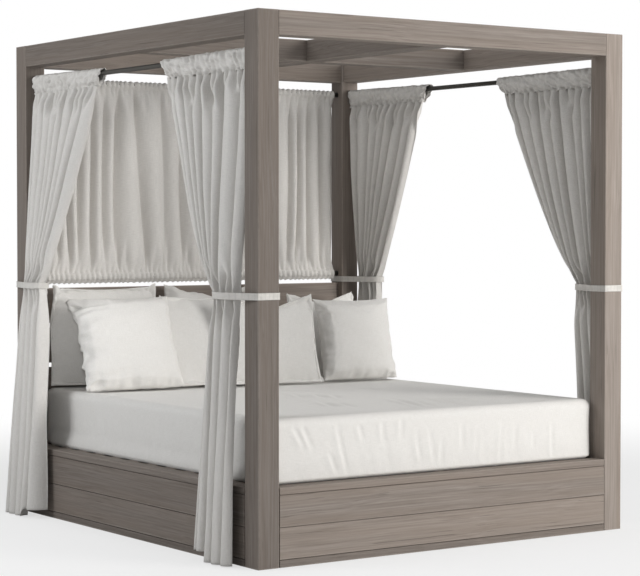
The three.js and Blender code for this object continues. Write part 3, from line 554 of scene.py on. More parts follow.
# Each corner: pocket is its lead edge on the rod, and hem its back and lead edges at the ground, both
# from the middle of the daybed. flare is how far out the hem stands, fan and spread bend the lead edge
# above and below the tie, hem_step is where the hem starts to rise, power how round the folds are and
# edge how deep the cloth's edges lie. A valley above the tie is (place at the pocket, half way down,
# at the tie, depth), and one below it is (place at the tie, half way down, at the hem, depth at the
# tie, depth at the hem), each place a share of the cloth's width.
corners = {
    "front_left": dict(
        side=-1, end=-1, pocket=0.265, flare=0.0946, hem=(1.035, 0.745), fan=0.74, hem_step=0.66,
        above=[(0.11, 0.14, 0.2, 1.5), (0.30, 0.39, 0.60, 1.95), (0.42, 0.52, 0.66, 0.9),
               (0.55, 0.65, 0.74, 1.8), (0.68, 0.74, 0.8, 0.9), (0.79, 0.82, 0.88, 2.0),
               (0.93, 0.93, 0.95, 0.9)],
        below=[(0.08, 0.14, 0.20, 1.6, 0.9), (0.40, 0.44, 0.46, 0.9, 0.6), (0.76, 0.70, 0.665, 1.8, 2.0),
               (0.93, 0.90, 0.88, 0.9, 0.6)]),
    "front_right": dict(
        side=1, end=-1, pocket=0.27984, flare=0.132, hem=(1.090, 0.800), fan=0.85, power=0.85,
        hem_step=0.7,
        above=[(0.06, 0.08, 0.12, 1.5), (0.15, 0.18, 0.22, 1.3), (0.26, 0.26, 0.28, 1.7),
               (0.39, 0.47, 0.60, 2.0), (0.51, 0.56, 0.68, 1.1), (0.60, 0.71, 0.80, 2.0),
               (0.76, 0.81, 0.87, 0.8), (0.89, 0.93, 0.95, 1.8)],
        below=[(0.22, 0.2, 0.22, 1.85, 1.9), (0.5, 0.48, 0.47, 1.85, 1.95), (0.78, 0.74, 0.72, 1.85, 1.8)]),
    "rear_left": dict(
        side=-1, end=1, pocket=0.30528, flare=0.132, hem=(1.104, 0.755), fan=0.85, spread=0.45,
        edge=1.7, hem_step=0.66,
        above=[(0.13, 0.10, 0.12, 1.5), (0.25, 0.23, 0.28, 0.9), (0.36, 0.38, 0.46, 2.0),
               (0.46, 0.47, 0.56, 0.9), (0.56, 0.57, 0.63, 1.5), (0.74, 0.70, 0.72, 1.6),
               (0.89, 0.82, 0.82, 1.3)],
        below=[(0.16, 0.13, 0.17, 1.5, 1.0), (0.42, 0.37, 0.36, 1.5, 1.1), (0.66, 0.6, 0.55, 1.4, 0.9),
               (0.86, 0.8, 0.72, 1.2, 1.8)]),
    "rear_right": dict(
        side=1, end=1, pocket=0.29256, flare=0.0946, hem=(1.090, 0.800), fan=0.85, power=0.85,
        hem_step=0.7,
        above=[(0.12, 0.13, 0.14, 1.2), (0.32, 0.33, 0.30, 2.0), (0.44, 0.43, 0.42, 0.8),
               (0.56, 0.51, 0.5, 1.5), (0.66, 0.62, 0.6, 1.0), (0.80, 0.80, 0.66, 2.0),
               (0.92, 0.93, 0.9, 0.9)],
        below=[(0.25, 0.24, 0.22, 1.85, 1.9), (0.54, 0.5, 0.5, 1.9, 1.95),
               (0.79, 0.76, 0.76, 1.6, 1.8)]),
}


def mix(a, b, share):
    return a + (b - a) * share


def smooth(low, high, value):
    share = min(1.0, max(0.0, (value - low) / (high - low)))
    return share * share * (3 - 2 * share)


def pleat(phase, sharp):
    """A fold's depth: 1 on its rounded crest and -1 in its narrow valley."""
    top = sqrt(1 + sharp * sharp) - sharp
    return 2 * (sqrt(sin(phase / 2) ** 2 + sharp * sharp) - sharp) / top - 1


def crease(seed, *place):
    """Smooth seeded noise from -1 to 1."""
    x, y, z = (*place, 0, 0)[:3]
    return noise.noise(Vector((x + 17.3 * seed, y - 5.1 * seed, z + 3.7)))


print("curtain corners", list(corners))

# %% A sheet of cloth as a grid whose points are placed by a rule
def cloth_grid(name, columns, rows, size, rule, thickness, material, closed=False):
    """A grid with a UV map in metres. rule(s, t) gives the point at shares s across and t up."""
    mesh = bmesh.new()
    mesh.loops.layers.uv.new("Cloth")
    bmesh.ops.create_grid(mesh, x_segments=columns, y_segments=rows, size=1, calc_uvs=True)
    layer = mesh.loops.layers.uv["Cloth"]
    for face in mesh.faces:
        for loop in face.loops:
            s, t = (loop.vert.co.x + 1) / 2, (loop.vert.co.y + 1) / 2
            loop[layer].uv = (s * size[0], t * size[1])
        face.smooth = True
    for vertex in mesh.verts:
        vertex.co = rule((vertex.co.x + 1) / 2, (vertex.co.y + 1) / 2)
    if closed:
        bmesh.ops.remove_doubles(mesh, verts=mesh.verts, dist=0.0003)
    piece = make_object(name, mesh, material)
    wall = piece.modifiers.new("Thickness", "SOLIDIFY")
    wall.thickness = thickness
    wall.offset = 0
    bpy.context.view_layer.objects.active = piece
    with bpy.context.temp_override(object=piece, active_object=piece, selected_objects=[piece]):
        bpy.ops.object.modifier_apply(modifier=wall.name)
    for polygon in piece.data.polygons:
        polygon.use_smooth = True
    return piece


print("cloth grid ready")

# %% Folds between named valleys
def along_three(first, middle, last, share):
    """A smooth line through three places at shares 0, 0.5 and 1."""
    rest = 1 - share
    return first * rest * (1 - 2 * share) + middle * 4 * share * rest + last * share * (2 * share - 1)


def folded(s, valleys, edge_depth=1.0, power=0.52, lean=0.85):
    """(depth, shift) of cloth that hangs in round folds between valleys, each given as (place, depth).

    A lower power makes rounder folds and narrower valleys, and lean swings the folds over sideways.
    """
    marks = [(0.0, edge_depth), *valleys, (1.0, edge_depth)]
    for (a, depth_a), (b, depth_b) in zip(marks, marks[1:]):
        if s <= b:
            q = (s - a) / max(b - a, 1e-4)
            floor = 1 - mix(depth_a, depth_b, q)
            crest = (max(0.0, sin(pi * q)) ** 2 + 0.002) ** power
            weight = min(1.0, mix(depth_a, depth_b, q))
            turn = -lean * weight * (b - a) / (2 * pi) * sin(2 * pi * q)
            return floor + (1 - floor) * min(1.0, crest), turn
    return 1 - edge_depth, 0.0


print("a fold is", [round(folded(k / 8, [(0.5, 1.6)])[0], 2) for k in range(9)])

# %% The drop: from the hem up to the pocket
def drop_rule(corner, seed):
    face = 1 if corner["side"] < 0 else -1
    hem_back, hem_lead = corner["hem"]
    lead_top = corner["pocket"] + pocket_slope

    def rule(s, t):
        height = mix(hem_height, drop_top, t)
        away = max(0.0, abs(height - tie_height) - tie_grip)
        gather = exp(-((away / 0.15) ** 2))
        tight = exp(-((away / 0.075) ** 2))
        warp = s + 0.018 * crease(seed, 3.1 * s, 1.3 * height)
        bundle = pleat(2 * pi * 7 * (0.7 * s + 0.3 * s * s) + 0.5, 0.2)
        if height >= tie_height:
            share = (height - tie_height - tie_grip) / (pocket_bottom - tie_height - tie_grip)
            share = min(1.0, max(0.0, share))
            back = mix(bundle_middle + bundle_half_along, pocket_back, smooth(0, 0.6, share))
            lead = mix(bundle_middle - bundle_half_along, lead_top, share ** corner["fan"])
            middle = post_x + bundle_offset * (1 - share) ** 1.5
            half = mix(drop_half_depth, bundle_half_out, gather) * mix(1, 0.55, smooth(0.93, 1.0, share))
            marks = [(along_three(tie, mid, top, share), depth) for top, mid, tie, depth in corner["above"]]
            wave, shift = folded(warp, marks, 1.0, corner.get("power", 0.52))
            small = pleat(2 * pi * 12.5 * s + 2.2 * crease(seed + 2, 7 * s), 0.16)
            start = smooth(0.84, 0.985, share + 0.09 * crease(seed + 4, 13 * s))
            wave = mix(wave, 0.3 * wave + 0.85 * small, start)
            shift *= 1 - start
        else:
            share = (tie_height - tie_grip - height) / (tie_height - tie_grip - 0.003)
            share = min(1.0, max(0.0, share))
            back = mix(bundle_middle + bundle_half_along, hem_back, share)
            lead = mix(bundle_middle - bundle_half_along, hem_lead, share ** corner.get("spread", 1))
            inner = mix(post_x + bundle_offset - bundle_half_out, hem_inner, smooth(0, 0.62, share))
            outer = mix(post_x + bundle_offset + bundle_half_out, hem_outer + corner["flare"], share)
            middle, half = (inner + outer) / 2, (outer - inner) / 2
            marks = [(along_three(tie, mid, hem, share), mix(at_tie, at_hem, share))
                     for tie, mid, hem, at_tie, at_hem in corner["below"]]
            wave, shift = folded(warp, marks, corner.get("edge", 1.0))
            lift = smooth(corner["hem_step"] - 0.04, corner["hem_step"] + 0.02, s)
            height += hem_rise * lift * (1 - smooth(0, 0.25, t))
        wave, shift = mix(wave, bundle, 0.8 * tight), shift * (1 - tight)
        roundness = mix(6, 2, gather)
        profile = max(mix(0.62, 0.16, gather), sqrt(max(0.0, 1 - abs(2 * s - 1) ** roundness)))
        sag = 0.09 * crease(seed + 5, 7 * s, 2.2 * height)
        sag += 0.07 * crease(seed + 9, 15 * s - 2 * height, 4 * height)
        out = middle + face * half * profile * max(-1.0, min(1.0, wave + sag))
        along = mix(back, lead, s + shift)
        return Vector((corner["side"] * out, corner["end"] * along, height))

    return rule


def make_drop(name, corner, seed):
    piece = cloth_grid("curtain_" + name, 210, 150, (0.95, 2.19), drop_rule(corner, seed), curtain_wall,
                       curtain_cloth)
    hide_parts("curtain_drop_" + name)
    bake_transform(piece)


for seed, (name, corner) in enumerate(corners.items()):
    make_drop(name, corner, seed)
    rule = drop_rule(corner, seed)
    widths = []
    for t in (0.02, 0.25, 0.5, 0.6, 0.75, 0.9, 0.98):
        row = [rule(k / 300, t) for k in range(301)]
        widths.append(round(sum((q - p).length for p, q in zip(row, row[1:])), 2))
    print(name, "cloth along a row, from the hem up, in metres:", widths)

# %% The rod pocket: cloth folded over the rod and sewn to itself
# The sleeve's cross-section: (share of the way round, distance from the rod's middle plane, height)
sleeve = [(0.0, -0.005, 2.187), (0.06, -0.004, 2.199), (0.16, -0.012, 2.213), (0.32, -0.021, 2.243),
          (0.43, -0.017, 2.270), (0.5, 0.0, 2.279), (0.57, 0.017, 2.270), (0.68, 0.021, 2.243),
          (0.84, 0.012, 2.213), (0.94, 0.004, 2.199), (1.0, 0.005, 2.187)]
pocket_waves = 17


def on_sleeve(t):
    for (t0, x0, z0), (t1, x1, z1) in zip(sleeve, sleeve[1:]):
        if t <= t1:
            share = (t - t0) / (t1 - t0)
            share = mix(share, share * share * (3 - 2 * share), 0.5)
            return mix(x0, x1, share), mix(z0, z1, share)
    return sleeve[-1][1:]


def pocket_rule(corner, seed):
    def rule(s, t):
        across, height = on_sleeve(t)
        drop = (pocket_top - height) / (pocket_top - pocket_bottom)
        slant = max(0.0, 1 - (1 - s) / pocket_slope_share)
        lead = corner["pocket"] + pocket_slope * drop * slant
        side = 1 if t > 0.5 else -1
        low = smooth(0.2, 1.0, drop)
        phase = 2 * pi * pocket_waves * s + 3.6 * crease(seed, 8 * s) + side * 2.2 * drop + seed
        uneven = 0.7 + 0.9 * crease(seed + 6, 8 * s, 3 * drop)
        ripple = 0.0025 + pleat(phase, 0.3) * mix(0.006, 0.012, low) * uneven
        ripple += 0.013 * crease(seed + 3, 30 * s + 5 * drop, 9 * t)
        height += 0.0045 * sin(phase) * smooth(0.8, 1.0, drop) + 0.003 * crease(seed, 22 * s) * (1 - drop)
        height += 0.008 * (1 - s) * (1 - drop)
        along = pocket_back + (lead - pocket_back) * s
        return Vector((corner["side"] * (post_x + across + side * ripple), corner["end"] * along, height))

    return rule


def make_pocket(name, corner, seed):
    piece = cloth_grid("gathered_pocket_" + name, 260, 44, (1.05, 0.2), pocket_rule(corner, seed),
                       pocket_wall, curtain_cloth)
    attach(piece, "pocket_" + name)
    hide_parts("curtain_pocket_" + name)
    return piece


pockets = [make_pocket(name, corner, seed + 10) for seed, (name, corner) in enumerate(corners.items())]
print("pockets", [len(p.data.polygons) for p in pockets])

# %% [markdown]
# ## Tie bands
# A tie is a strip of the same cloth, lined, wrapped once round the post and the gathered folds and
# closed on itself at the folds' end. It lies flat on the post's faces and follows the round of the
# bundle, so its outline is the hull of both, pushed out by the cloth's thickness.

# %% Ties
tie_width, tie_off_bundle, tie_off_post = 0.031, 0.0012, 0.0019


def tie_outline(corner, angle, push):
    """The point where the band lies in a direction from the post's middle, seen from above."""
    nx, ny = cos(angle), sin(angle)
    at_post = (post_half * (1 if nx > 0 else -1), post_half * (1 if ny > 0 else -1))
    a, b = bundle_half_out + tie_off_bundle, bundle_half_along + tie_off_bundle
    reach = hypot(a * nx, b * ny)
    at_cloth = (corner["side"] * bundle_offset + a * a * nx / reach,
                -corner["end"] * bundle_from_post + b * b * ny / reach)
    post_reach = at_post[0] * nx + at_post[1] * ny
    cloth_reach = at_cloth[0] * nx + at_cloth[1] * ny
    x, y = at_post if post_reach > cloth_reach else at_cloth
    return x + push * nx, y + push * ny


def tie_rule(corner, seed):
    def rule(s, t):
        angle = 2 * pi * s
        curl = 0.0009 * (2 * t - 1) ** 2
        x, y = tie_outline(corner, angle, tie_off_post + curl)
        lift = 0.0015 * crease(seed, 2 * cos(angle), 2 * sin(angle))
        return Vector((corner["side"] * post_x + x, corner["end"] * post_y + y,
                       tie_height + tie_width * (t - 0.5) + lift))
    return rule


def make_tie(name, corner, seed):
    piece = cloth_grid("tie_" + name, 200, 8, (0.94, 0.032), tie_rule(corner, seed), tie_wall, tie_cloth,
                       closed=True)
    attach(piece, "frame")
    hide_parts("curtain_tie_" + name)
    return piece


ties = [make_tie(name, corner, seed + 20) for seed, (name, corner) in enumerate(corners.items())]
print("ties", len(ties))

# %% [markdown]
# ## Rear curtain
# The rear curtain is one sheet with a pocket at its top and another at its bottom, gathered on two
# rods. The sheet is followed as it runs: up behind the upper rod, over it, down the front, and round
# the lower rod again, so one grid makes the cloth and both its pockets.

# %% Rear curtain
# (distance in front of the rods, height) along the cloth, from the upper pocket's seam to the lower's
rear_path = [(-0.006, 2.238), (-0.014, 2.248), (-0.0165, 2.262), (-0.012, 2.276), (0.0, 2.281),
             (0.012, 2.276), (0.0165, 2.262), (0.013, 2.249), (0.003, 2.240), (0.0, 2.21), (0.0, 2.1),
             (0.0, 1.9), (0.0, 1.7), (0.0, 1.5), (0.0, 1.36), (0.0, 1.27), (0.003, 1.249),
             (0.014, 1.239), (0.0165, 1.225), (0.013, 1.211), (0.004, 1.203), (0.0, 1.193),
             (-0.004, 1.203), (-0.013, 1.211), (-0.0165, 1.225), (-0.014, 1.239), (-0.006, 1.247)]
rear_width, rear_narrowing, rear_depth, ruche_depth = 1.872, 0.03, 0.029, 0.0052
rear_pleats, rear_ruches = 34, 62
upper_share, lower_share = 0.088, 0.112  # of the cloth's length, in each of its pockets
rear_lengths = [0.0]
for (y0, z0), (y1, z1) in zip(rear_path, rear_path[1:]):
    rear_lengths.append(rear_lengths[-1] + hypot(y1 - y0, z1 - z0))


def on_rear_path(share):
    target = share * rear_lengths[-1]
    for i, (d0, d1) in enumerate(zip(rear_lengths, rear_lengths[1:])):
        if target <= d1:
            part = (target - d0) / (d1 - d0)
            (y0, z0), (y1, z1) = rear_path[i], rear_path[i + 1]
            return mix(y0, y1, part), mix(z0, z1, part)
    return rear_path[-1]


def rear_rows(t):
    """More rows where the cloth turns round the rods."""
    if t < 0.3:
        return upper_share * t / 0.3
    if t > 0.66:
        return 1 - lower_share * (1 - t) / 0.34
    return mix(upper_share, 1 - lower_share, (t - 0.3) / 0.36)


# Valleys: (place at the top, half way down, at the bottom, depth at the top, depth at the bottom)
rear_folds = [
    (0.03, 0.02, 0.04, 1.9, 1.0), (0.07, 0.065, 0.075, 1.2, 2.0), (0.11, 0.10, 0.10, 1.8, 1.1),
    (0.14, 0.145, 0.14, 1.1, 1.9), (0.19, 0.18, 0.19, 1.3, 1.2), (0.23, 0.22, 0.23, 1.7, 1.9),
    (0.29, 0.31, 0.34, 1.6, 1.8), (0.375, 0.39, 0.39, 1.1, 1.4), (0.45, 0.445, 0.46, 1.2, 1.9),
    (0.49, 0.51, 0.52, 2.0, 1.6), (0.54, 0.55, 0.56, 1.9, 1.0), (0.61, 0.60, 0.59, 2.0, 1.3),
    (0.66, 0.67, 0.66, 1.5, 1.6), (0.72, 0.71, 0.73, 1.7, 1.5), (0.78, 0.77, 0.78, 1.6, 1.7),
    (0.84, 0.835, 0.83, 1.6, 1.4), (0.87, 0.865, 0.86, 1.5, 1.7), (0.91, 0.90, 0.91, 1.6, 1.8),
    (0.95, 0.955, 0.95, 1.6, 1.2)]


def rear_rule(s, t):
    across, height = on_rear_path(rear_rows(t))
    hang = smooth(2.245, 2.17, height) * smooth(1.245, 1.32, height)
    near = 1 - hang
    share = min(1.0, max(0.0, (2.24 - height) / 1.0))
    marks = [(along_three(top, mid, low, share), mix(at_top, at_low, share))
             for top, mid, low, at_top, at_low in rear_folds]
    folds, shift = folded(s + 0.006 * crease(31, 9 * s, 1.5 * height), marks, 1.0, 0.75, 0.45)
    folds += 0.28 * crease(39, 27 * s, 1.1 * height)
    start = max(smooth(2.08, 2.23, height), smooth(1.46, 1.27, height))
    pleats = pleat(2 * pi * rear_pleats * s + 2.5 * crease(37, 17 * s), 0.15)
    ruche = pleat(2 * pi * rear_ruches * s + 2.4 * crease(33, 20 * s), 0.25)
    wave = mix(folds, 0.6 * folds + 0.4 * pleats * (0.7 + 0.8 * crease(38, 30 * s)), start)
    out = rear_depth * max(-1.15, min(1.15, wave)) * hang + ruche_depth * ruche * near
    out += 0.0015 * crease(35, 40 * s, 5 * height)
    width = rear_width - rear_narrowing * hang
    rise = 0.0035 * ruche * (1 if height > 2.24 or height < 1.21 else 0)
    return Vector((width * (s + 0.9 * shift * hang - 0.5), post_y - across - out, height + rise))


rear = cloth_grid("rear_curtain_cloth", 420, 84, (2.6, 1.28), rear_rule, pocket_wall, curtain_cloth)
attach(rear, "back_curtain")
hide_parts("rear_curtain")
print("rear curtain", len(rear.data.polygons))

# %% [markdown]
# ## Mattress
# The mattress is a foam block in a loose zipped cover. Its edges are round, its sides are drawn in a
# little, and the cover puckers in soft upright wrinkles at the foot and lies in shallow waves on top.
# A cube cut into a fine grid is rounded by pulling each point onto a rounded box, and the cover's
# looseness is then worked in as small moves of the surface.

# %% Mattress
mattress_low, mattress_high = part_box("mattress")
mattress_middle, mattress_half = (mattress_low + mattress_high) / 2, (mattress_high - mattress_low) / 2
foam_radius, side_spread, foot_spread = 0.044, 0.026, 0.006
tuck_depth, tuck_height, side_tuck_share = 0.022, 0.014, 0.35


def crowd(share):
    """Moves grid lines towards both ends, where the edges are round."""
    return share * (1.18 - 0.18 * share * share)


def on_foam(place, half, radius):
    """A point of a box moved onto a block with round upright corners and a round upper edge."""
    inner = Vector((max(radius - half.x, min(half.x - radius, place.x)),
                    max(radius - half.y, min(half.y - radius, place.y)), min(half.z - radius, place.z)))
    away = place - inner
    if away.length < 1e-9:
        return place.copy()
    return inner + away * (max(abs(c) for c in away) / away.length)


# Creases of the cover: at the foot (x, z, x, z) and on top (x, y, x, y), from one end to the other
foot_creases = [
    (-0.83, 0.10, -0.78, 0.03), (-0.78, 0.10, -0.73, 0.01), (-0.63, -0.03, -0.60, -0.11),
    (-0.59, 0.09, -0.54, -0.11), (-0.47, 0.09, -0.45, 0.03), (-0.34, 0.09, -0.33, 0.01),
    (-0.23, 0.11, -0.23, 0.02), (-0.14, 0.03, -0.12, -0.08), (-0.06, 0.03, -0.04, -0.11),
    (0.01, -0.01, 0.00, -0.11), (0.13, 0.05, 0.13, -0.04), (0.22, 0.01, 0.21, -0.08),
    (0.37, 0.03, 0.36, -0.12), (0.46, 0.03, 0.45, -0.06), (0.69, 0.02, 0.69, -0.12),
    (0.57, 0.00, 0.57, -0.07)]
top_creases = [
    (-0.01, -0.07, -0.06, -0.20), (0.04, -0.16, -0.02, -0.29), (-0.24, -0.48, -0.32, -0.68),
    (-0.18, -0.52, -0.25, -0.73), (0.15, -0.55, -0.01, -0.97), (0.21, -0.60, 0.08, -0.92),
    (0.36, -0.59, 0.24, -0.93), (0.47, -0.61, 0.42, -0.85), (-0.08, 0.01, -0.16, -0.18),
    (0.47, 0.15, 0.43, 0.00), (-0.62, -0.2, -0.5, 0.05), (0.1, 0.1, -0.1, 0.25)]


def creased(creases, a, b, width):
    """The depth at a place of soft grooves with a ridge along one side, each fading to its ends."""
    total = 0.0
    for a0, b0, a1, b1 in creases:
        da, db = a1 - a0, b1 - b0
        length = hypot(da, db)
        along = ((a - a0) * da + (b - b0) * db) / (length * length)
        if -0.3 < along < 1.3:
            off = ((a - a0) * db - (b - b0) * da) / length
            fade = smooth(-0.3, 0.3, along) * smooth(1.3, 0.7, along)
            total += fade * (exp(-((off / width) ** 2)) - 0.7 * exp(-(((off - 1.9 * width) / width) ** 2)))
    return total


def cover_moves(place):
    """How far the cover stands off the foam, by where it is."""
    x, y, z = place
    side = smooth(0.90, 0.985, max(abs(x) / mattress_half.x, abs(y) / mattress_half.y))
    at_foot = abs(y) / mattress_half.y > abs(x) / mattress_half.x
    run = x if at_foot else y
    upright = crease(41, 13 * run + 2 * z, 1.6 * z) + 0.5 * crease(42, 30 * run + 5 * z, 3 * z)
    patch = smooth(-0.1, 0.45, crease(46, 2.6 * run, 2 * z))
    low = smooth(0.085, -0.06, z) * smooth(-0.147, -0.11, z)
    wide = crease(43, 2.2 * x, 2.2 * y, 1.5 * z)
    if at_foot:
        grooves = creased(foot_creases, x, z, 0.011)
    else:
        grooves = creased(foot_creases, 0.84 * y, 0.8 * z - 0.02, 0.010)
    grooves *= (1 if grooves > 0 else 0.8) * smooth(0.125, 0.1, z)
    waist = smooth(-0.1, 0.02, z) * smooth(0.12, 0.0, z)
    on_side = 0.0038 * upright * low * (0.3 + patch) - 0.0045 * grooves - 0.003 * waist
    on_top = 0.0035 * wide - 0.0045 - 0.006 * creased(top_creases, x, y, 0.016)
    return side * on_side + (1 - side) * on_top


def settle(place):
    """Spreads the cover's lower edge over the slats between the posts and tucks its rim under."""
    x, y, z = place
    outward = 1 if x > 0 else -1
    between_posts = smooth(1.045, 0.95, abs(y)) * smooth(0.92, 0.94, abs(x))
    x += outward * side_spread * smooth(-0.06, -0.142, z) * between_posts
    if y < 0:
        between_posts = smooth(0.945, 0.9, abs(x)) * smooth(1.06, 1.08, abs(y))
        y -= foot_spread * smooth(-0.09, -0.142, z) * between_posts
    if z < 0.004 - mattress_half.z:
        z = 0.0003 - mattress_half.z
    tuck = tuck_depth * smooth(tuck_height, 0.002, z + mattress_half.z)
    x -= side_tuck_share * tuck * outward * smooth(0.92, 0.94, abs(x))
    return Vector((x, y + tuck * smooth(-1.05, -1.07, y), z))


def make_mattress():
    mesh = bmesh.new()
    mesh.loops.layers.uv.new("Cloth")
    bmesh.ops.create_cube(mesh, size=2, calc_uvs=True)
    for axis, cuts in ((0, 190), (1, 120), (2, 32)):
        edges = [e for e in mesh.edges if abs(e.verts[0].co[axis] - e.verts[1].co[axis]) > 1.5]
        bmesh.ops.subdivide_edges(mesh, edges=edges, cuts=cuts, use_grid_fill=True)
    for vertex in mesh.verts:
        place = Vector([crowd(c) * h for c, h in zip(vertex.co, mattress_half)])
        vertex.co = on_foam(place, mattress_half, foam_radius)
    mesh.normal_update()
    moved = [settle(vertex.co + vertex.normal * min(-0.0004, cover_moves(vertex.co) - 0.002))
             for vertex in mesh.verts]
    layer = mesh.loops.layers.uv["Cloth"]
    for face in mesh.faces:
        flat = max(range(3), key=lambda k: abs(face.normal[k]))
        for loop in face.loops:
            x, y, z = loop.vert.co
            loop[layer].uv = ((y, z), (x, z), (x, y))[flat]
        face.smooth = True
    for vertex, place in zip(mesh.verts, moved):
        vertex.co = place + mattress_middle
    return make_object("mattress_cover", mesh, cover_cloth)


mattress = make_mattress()
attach(mattress, "bed_mattress")
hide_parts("mattress")
print("mattress", len(mattress.data.polygons), "faces")

# %% [markdown]
# ## Pillows
# A loose pillow is two panels sewn at their edges and filled. It is fat in the middle, its sides draw
# in between the corners, and the cloth puckers along the seam. Each panel starts as a grid crowned to
# the pillow's shape, both panels are joined at the seam, and Blender's cloth then inflates them a
# little with the panels slightly too large, so that real creases form. A few pillows have had a chop
# with the hand into their upper edge.

# %% Pillow sizes and places, in metres
pillow_thickness = 0.146
mattress_width, mattress_back, mattress_top = 1.910, 1.095, 0.6483
pillow_row, draw_in, top_draw_in = 0.171, 0.045, 0.065

# Each pillow: across is a share of the mattress's width, rows counts from the headboard, turn and
# lean are in degrees, chop is the depth of the dent in its upper edge and draw how far its sides draw
# in, both shares of its size.
pillow_table = {
    "back_pillow_left": dict(size=(0.642, 0.540), across=-0.319, rows=0.47, turn=0, lean=8, chop=0),
    "back_pillow_centre": dict(size=(0.642, 0.600), across=0.022, rows=1.035, turn=0, lean=27, chop=0.117),
    "back_pillow_right": dict(size=(0.566, 0.500), across=0.353, rows=1.684, turn=10, lean=14, chop=0.1),
    "front_pillow_left": dict(size=(0.566, 0.540), across=-0.342, rows=2.152, turn=-7, lean=26, chop=0,
                              draw=0.06),
    "front_pillow_centre_left": dict(size=(0.566, 0.540), across=-0.056, rows=2.038, turn=0, lean=27, chop=0),
    "front_pillow_centre_right": dict(size=(0.566, 0.500), across=0.0725, rows=3.166, turn=-10, lean=11,
                                      chop=0.13, draw=0.08),
    "front_pillow_right": dict(size=(0.492, 0.470), across=0.366, rows=3.1, turn=-4, lean=14, chop=0,
                               draw=0.09),
}


def pillow_point(pillow, u, v, face, fill=1.0):
    """A point of a panel in the pillow's own terms, standing upright; u and v run from -1 to 1."""
    width, height = pillow["size"]
    crown = max(0.0, (1 - u * u) * (1 - v * v)) ** 0.42
    draw_u = 1 - pillow.get("draw", draw_in) * (1 - v * v) * u * u
    draw_v = 1 - (top_draw_in if v > 0 else 0.0) * (1 - u * u) * v * v
    above = max(0.0, v) ** 2
    chop = pillow["chop"] * height
    dip = chop * (1 - abs(u)) * above
    pull = 0.4 * chop * u * above
    return Vector((width / 2 * u * draw_u - pull, face * fill * pillow_thickness / 2 * crown,
                   height / 2 * v * draw_v - dip))


def pucker(seed, u, v, face, folds):
    """Creases that run in from the seam and fade towards the middle, and a slow unevenness."""
    total = 0.0
    for side, (run, edge) in enumerate(((v, 1 + u), (v, 1 - u), (u, 1 + v), (u, 1 - v))):
        strength = folds[side]
        bend = run + 0.25 * edge * crease(seed + 7, 2 * run, side)
        ridge = 0.55 - 2.6 * abs(crease(seed + side, 4.2 * bend, 0.6 * edge, 2 * face))
        fine = 0.5 * crease(seed + 2, 12 * bend, 2 * edge, face)
        total += strength * min(1.0, edge / 0.05) * exp(-edge / (0.10 + 0.06 * strength)) * (ridge + fine)
    slow = crease(seed + 4, 1.5 * u, 1.5 * v, face) * (1 - u * u) * (1 - v * v)
    return 0.0135 * total + 0.012 * slow


def pillow_panel(mesh, pillow, seed, face, cells):
    """One panel of a pillow as a crowned grid with its weave laid out in metres."""
    layer = mesh.loops.layers.uv["Cloth"]
    panel = mesh.verts.layers.float_vector["panel"]
    grid = bmesh.ops.create_grid(mesh, x_segments=cells, y_segments=cells, size=1)
    verts = grid["verts"]
    faces = {f for v in verts for f in v.link_faces}
    width, height = pillow["size"]
    for f in faces:
        for loop in f.loops:
            loop[layer].uv = (loop.vert.co.x * width / 2 + (2 if face > 0 else 0) + seed,
                              loop.vert.co.y * height / 2)
        f.smooth = True
    for vertex in verts:
        u, v = (sin(pi / 2 * c) * 0.6 + c * 0.4 for c in vertex.co[:2])
        vertex[panel] = (u, v, face)
        vertex.co = pillow_point(pillow, u, v, face, 0.94)


def make_pillow(name, pillow, seed, cells):
    """Both panels joined at the seam, lying at the origin; cells is the grid's count along a side."""
    mesh = bmesh.new()
    mesh.loops.layers.uv.new("Cloth")
    mesh.verts.layers.float_vector.new("panel")
    for face in (-1, 1):
        pillow_panel(mesh, pillow, seed, face, cells)
    bmesh.ops.remove_doubles(mesh, verts=mesh.verts, dist=0.0005)
    bmesh.ops.recalc_face_normals(mesh, faces=mesh.faces)
    return make_object(name + "_cover", mesh, cover_cloth)


def stand_pillow(piece, pillow):
    """Turns and leans a pillow and seats it on the mattress, in its mesh."""
    leaned = Matrix.Rotation(-radians(pillow["lean"]), 4, "X")
    turned = Matrix.Rotation(radians(pillow["turn"]), 4, "Z") @ leaned
    lowest = min((turned @ pillow_point(pillow, a / 4, b / 4, f)).z
                 for a in range(-4, 5) for b in range(-4, 5) for f in (-1, 1))
    place = Matrix.Translation((pillow["across"] * mattress_width,
                                mattress_back - pillow["rows"] * pillow_row, mattress_top - lowest))
    piece.data.transform(place @ turned)


def apply_modifiers(piece):
    """Bakes a piece's modifiers into its mesh at the current frame."""
    seen = piece.evaluated_get(bpy.context.evaluated_depsgraph_get())
    made = bpy.data.meshes.new_from_object(seen)
    piece.modifiers.clear()
    old = piece.data
    piece.data = made
    made.name = old.name
    bpy.data.meshes.remove(old)


# %% Inflate with cloth
def inflate(piece, pressure, slack, reach):
    """Blows a sewn cover up a little, its cloth slack by a share, each point moving at most reach."""
    start = [v.co.copy() for v in piece.data.vertices]
    cloth = piece.modifiers.new("Inflate", "CLOTH")
    settings = cloth.settings
    settings.quality = 5
    settings.mass = 0.25
    settings.tension_stiffness = settings.compression_stiffness = 12
    settings.shear_stiffness = 4
    settings.bending_stiffness = 0.12
    settings.use_pressure = True
    settings.uniform_pressure_force = pressure
    settings.shrink_min = -slack
    settings.effector_weights.gravity = 0
    for number in range(1, 21):
        scene.frame_set(number)
    apply_modifiers(piece)
    scene.frame_set(1)
    for vertex, before in zip(piece.data.vertices, start):
        move = vertex.co - before
        limits = (0.25 * reach, reach, 0.25 * reach)
        vertex.co = before + Vector([max(-most, min(most, part)) for part, most in zip(move, limits)])


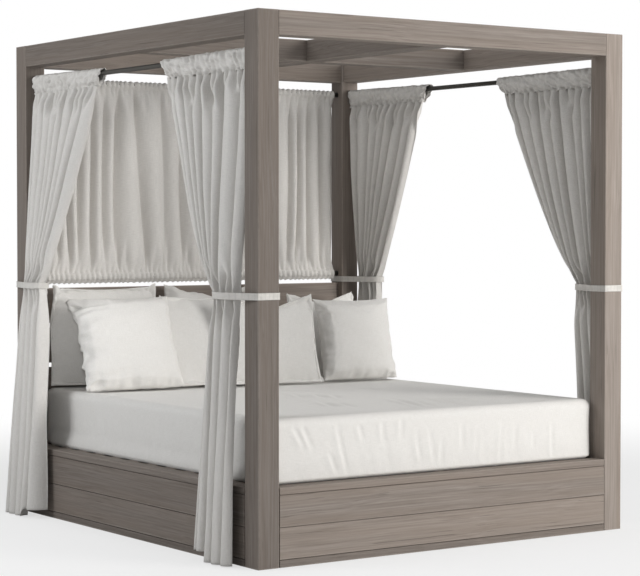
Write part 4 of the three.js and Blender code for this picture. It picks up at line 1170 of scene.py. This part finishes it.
def soften(piece):
    """Rounds a cover with one level of subdivision."""
    finish = piece.modifiers.new("Smooth cloth", "SUBSURF")
    finish.levels = finish.render_levels = 1
    apply_modifiers(piece)
    for polygon in piece.data.polygons:
        polygon.use_smooth = True


# How strong the puckers are at the left, right, lower and upper seam
pillow_folds = {
    "back_pillow_left": (1.0, 0.8, 0.8, 0.9), "back_pillow_centre": (0.9, 0.9, 0.8, 1.3),
    "back_pillow_right": (0.9, 0.9, 0.8, 1.0), "front_pillow_left": (3.2, 1.0, 1.3, 1.0),
    "front_pillow_centre_left": (0.9, 1.0, 1.4, 0.8), "front_pillow_centre_right": (0.9, 1.0, 1.2, 1.0),
    "front_pillow_right": (1.1, 0.9, 1.2, 0.7)}


def work_in(name, piece, seed):
    """Works the puckers into a cover along its normals, as upholsterers tug at a seam."""
    panel = piece.data.attributes["panel"]
    normals = [v.normal.copy() for v in piece.data.vertices]
    for vertex, normal, place in zip(piece.data.vertices, normals, panel.data):
        u, v, face = place.vector
        vertex.co += normal * pucker(seed, u, v, face, pillow_folds[name])
    piece.data.attributes.remove(panel)


def slump(name, piece):
    """Small shifts of single pillows: a corner that droops, a side that rests on the headboard."""
    for vertex in piece.data.vertices:
        x, y, z = vertex.co
        if name == "back_pillow_left":
            share = smooth(-0.70, -0.93, x) * smooth(1.17, 0.95, z)
            vertex.co.y = min(1.099, y + 0.05 * share)
            vertex.co.x -= 0.022 * share
        if name == "front_pillow_left":
            share = smooth(-0.72, -0.93, x) * smooth(1.0, 1.13, z)
            vertex.co.y += 0.055 * share
            vertex.co.z -= 0.028 * share
        if name == "front_pillow_centre_left":
            vertex.co.x -= 0.035 * smooth(-0.25, -0.37, x) * smooth(1.12, 1.0, z)
        vertex.co.z = max(mattress_top + 0.0004, vertex.co.z)


panel_cells, first_seed = 46, 50
bodies = frame["record"]["behaviour"]["bodies"]
for seed, (name, pillow) in enumerate(pillow_table.items(), first_seed):
    piece = make_pillow(name, pillow, seed, panel_cells)
    inflate(piece, pressure=4.0, slack=0.07, reach=0.024)
    work_in(name, piece, seed)
    stand_pillow(piece, pillow)
    slump(name, piece)
    soften(piece)
    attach(piece, next(body for body, members in bodies.items() if name in members))
    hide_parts(name)
print("pillows", list(pillow_table))
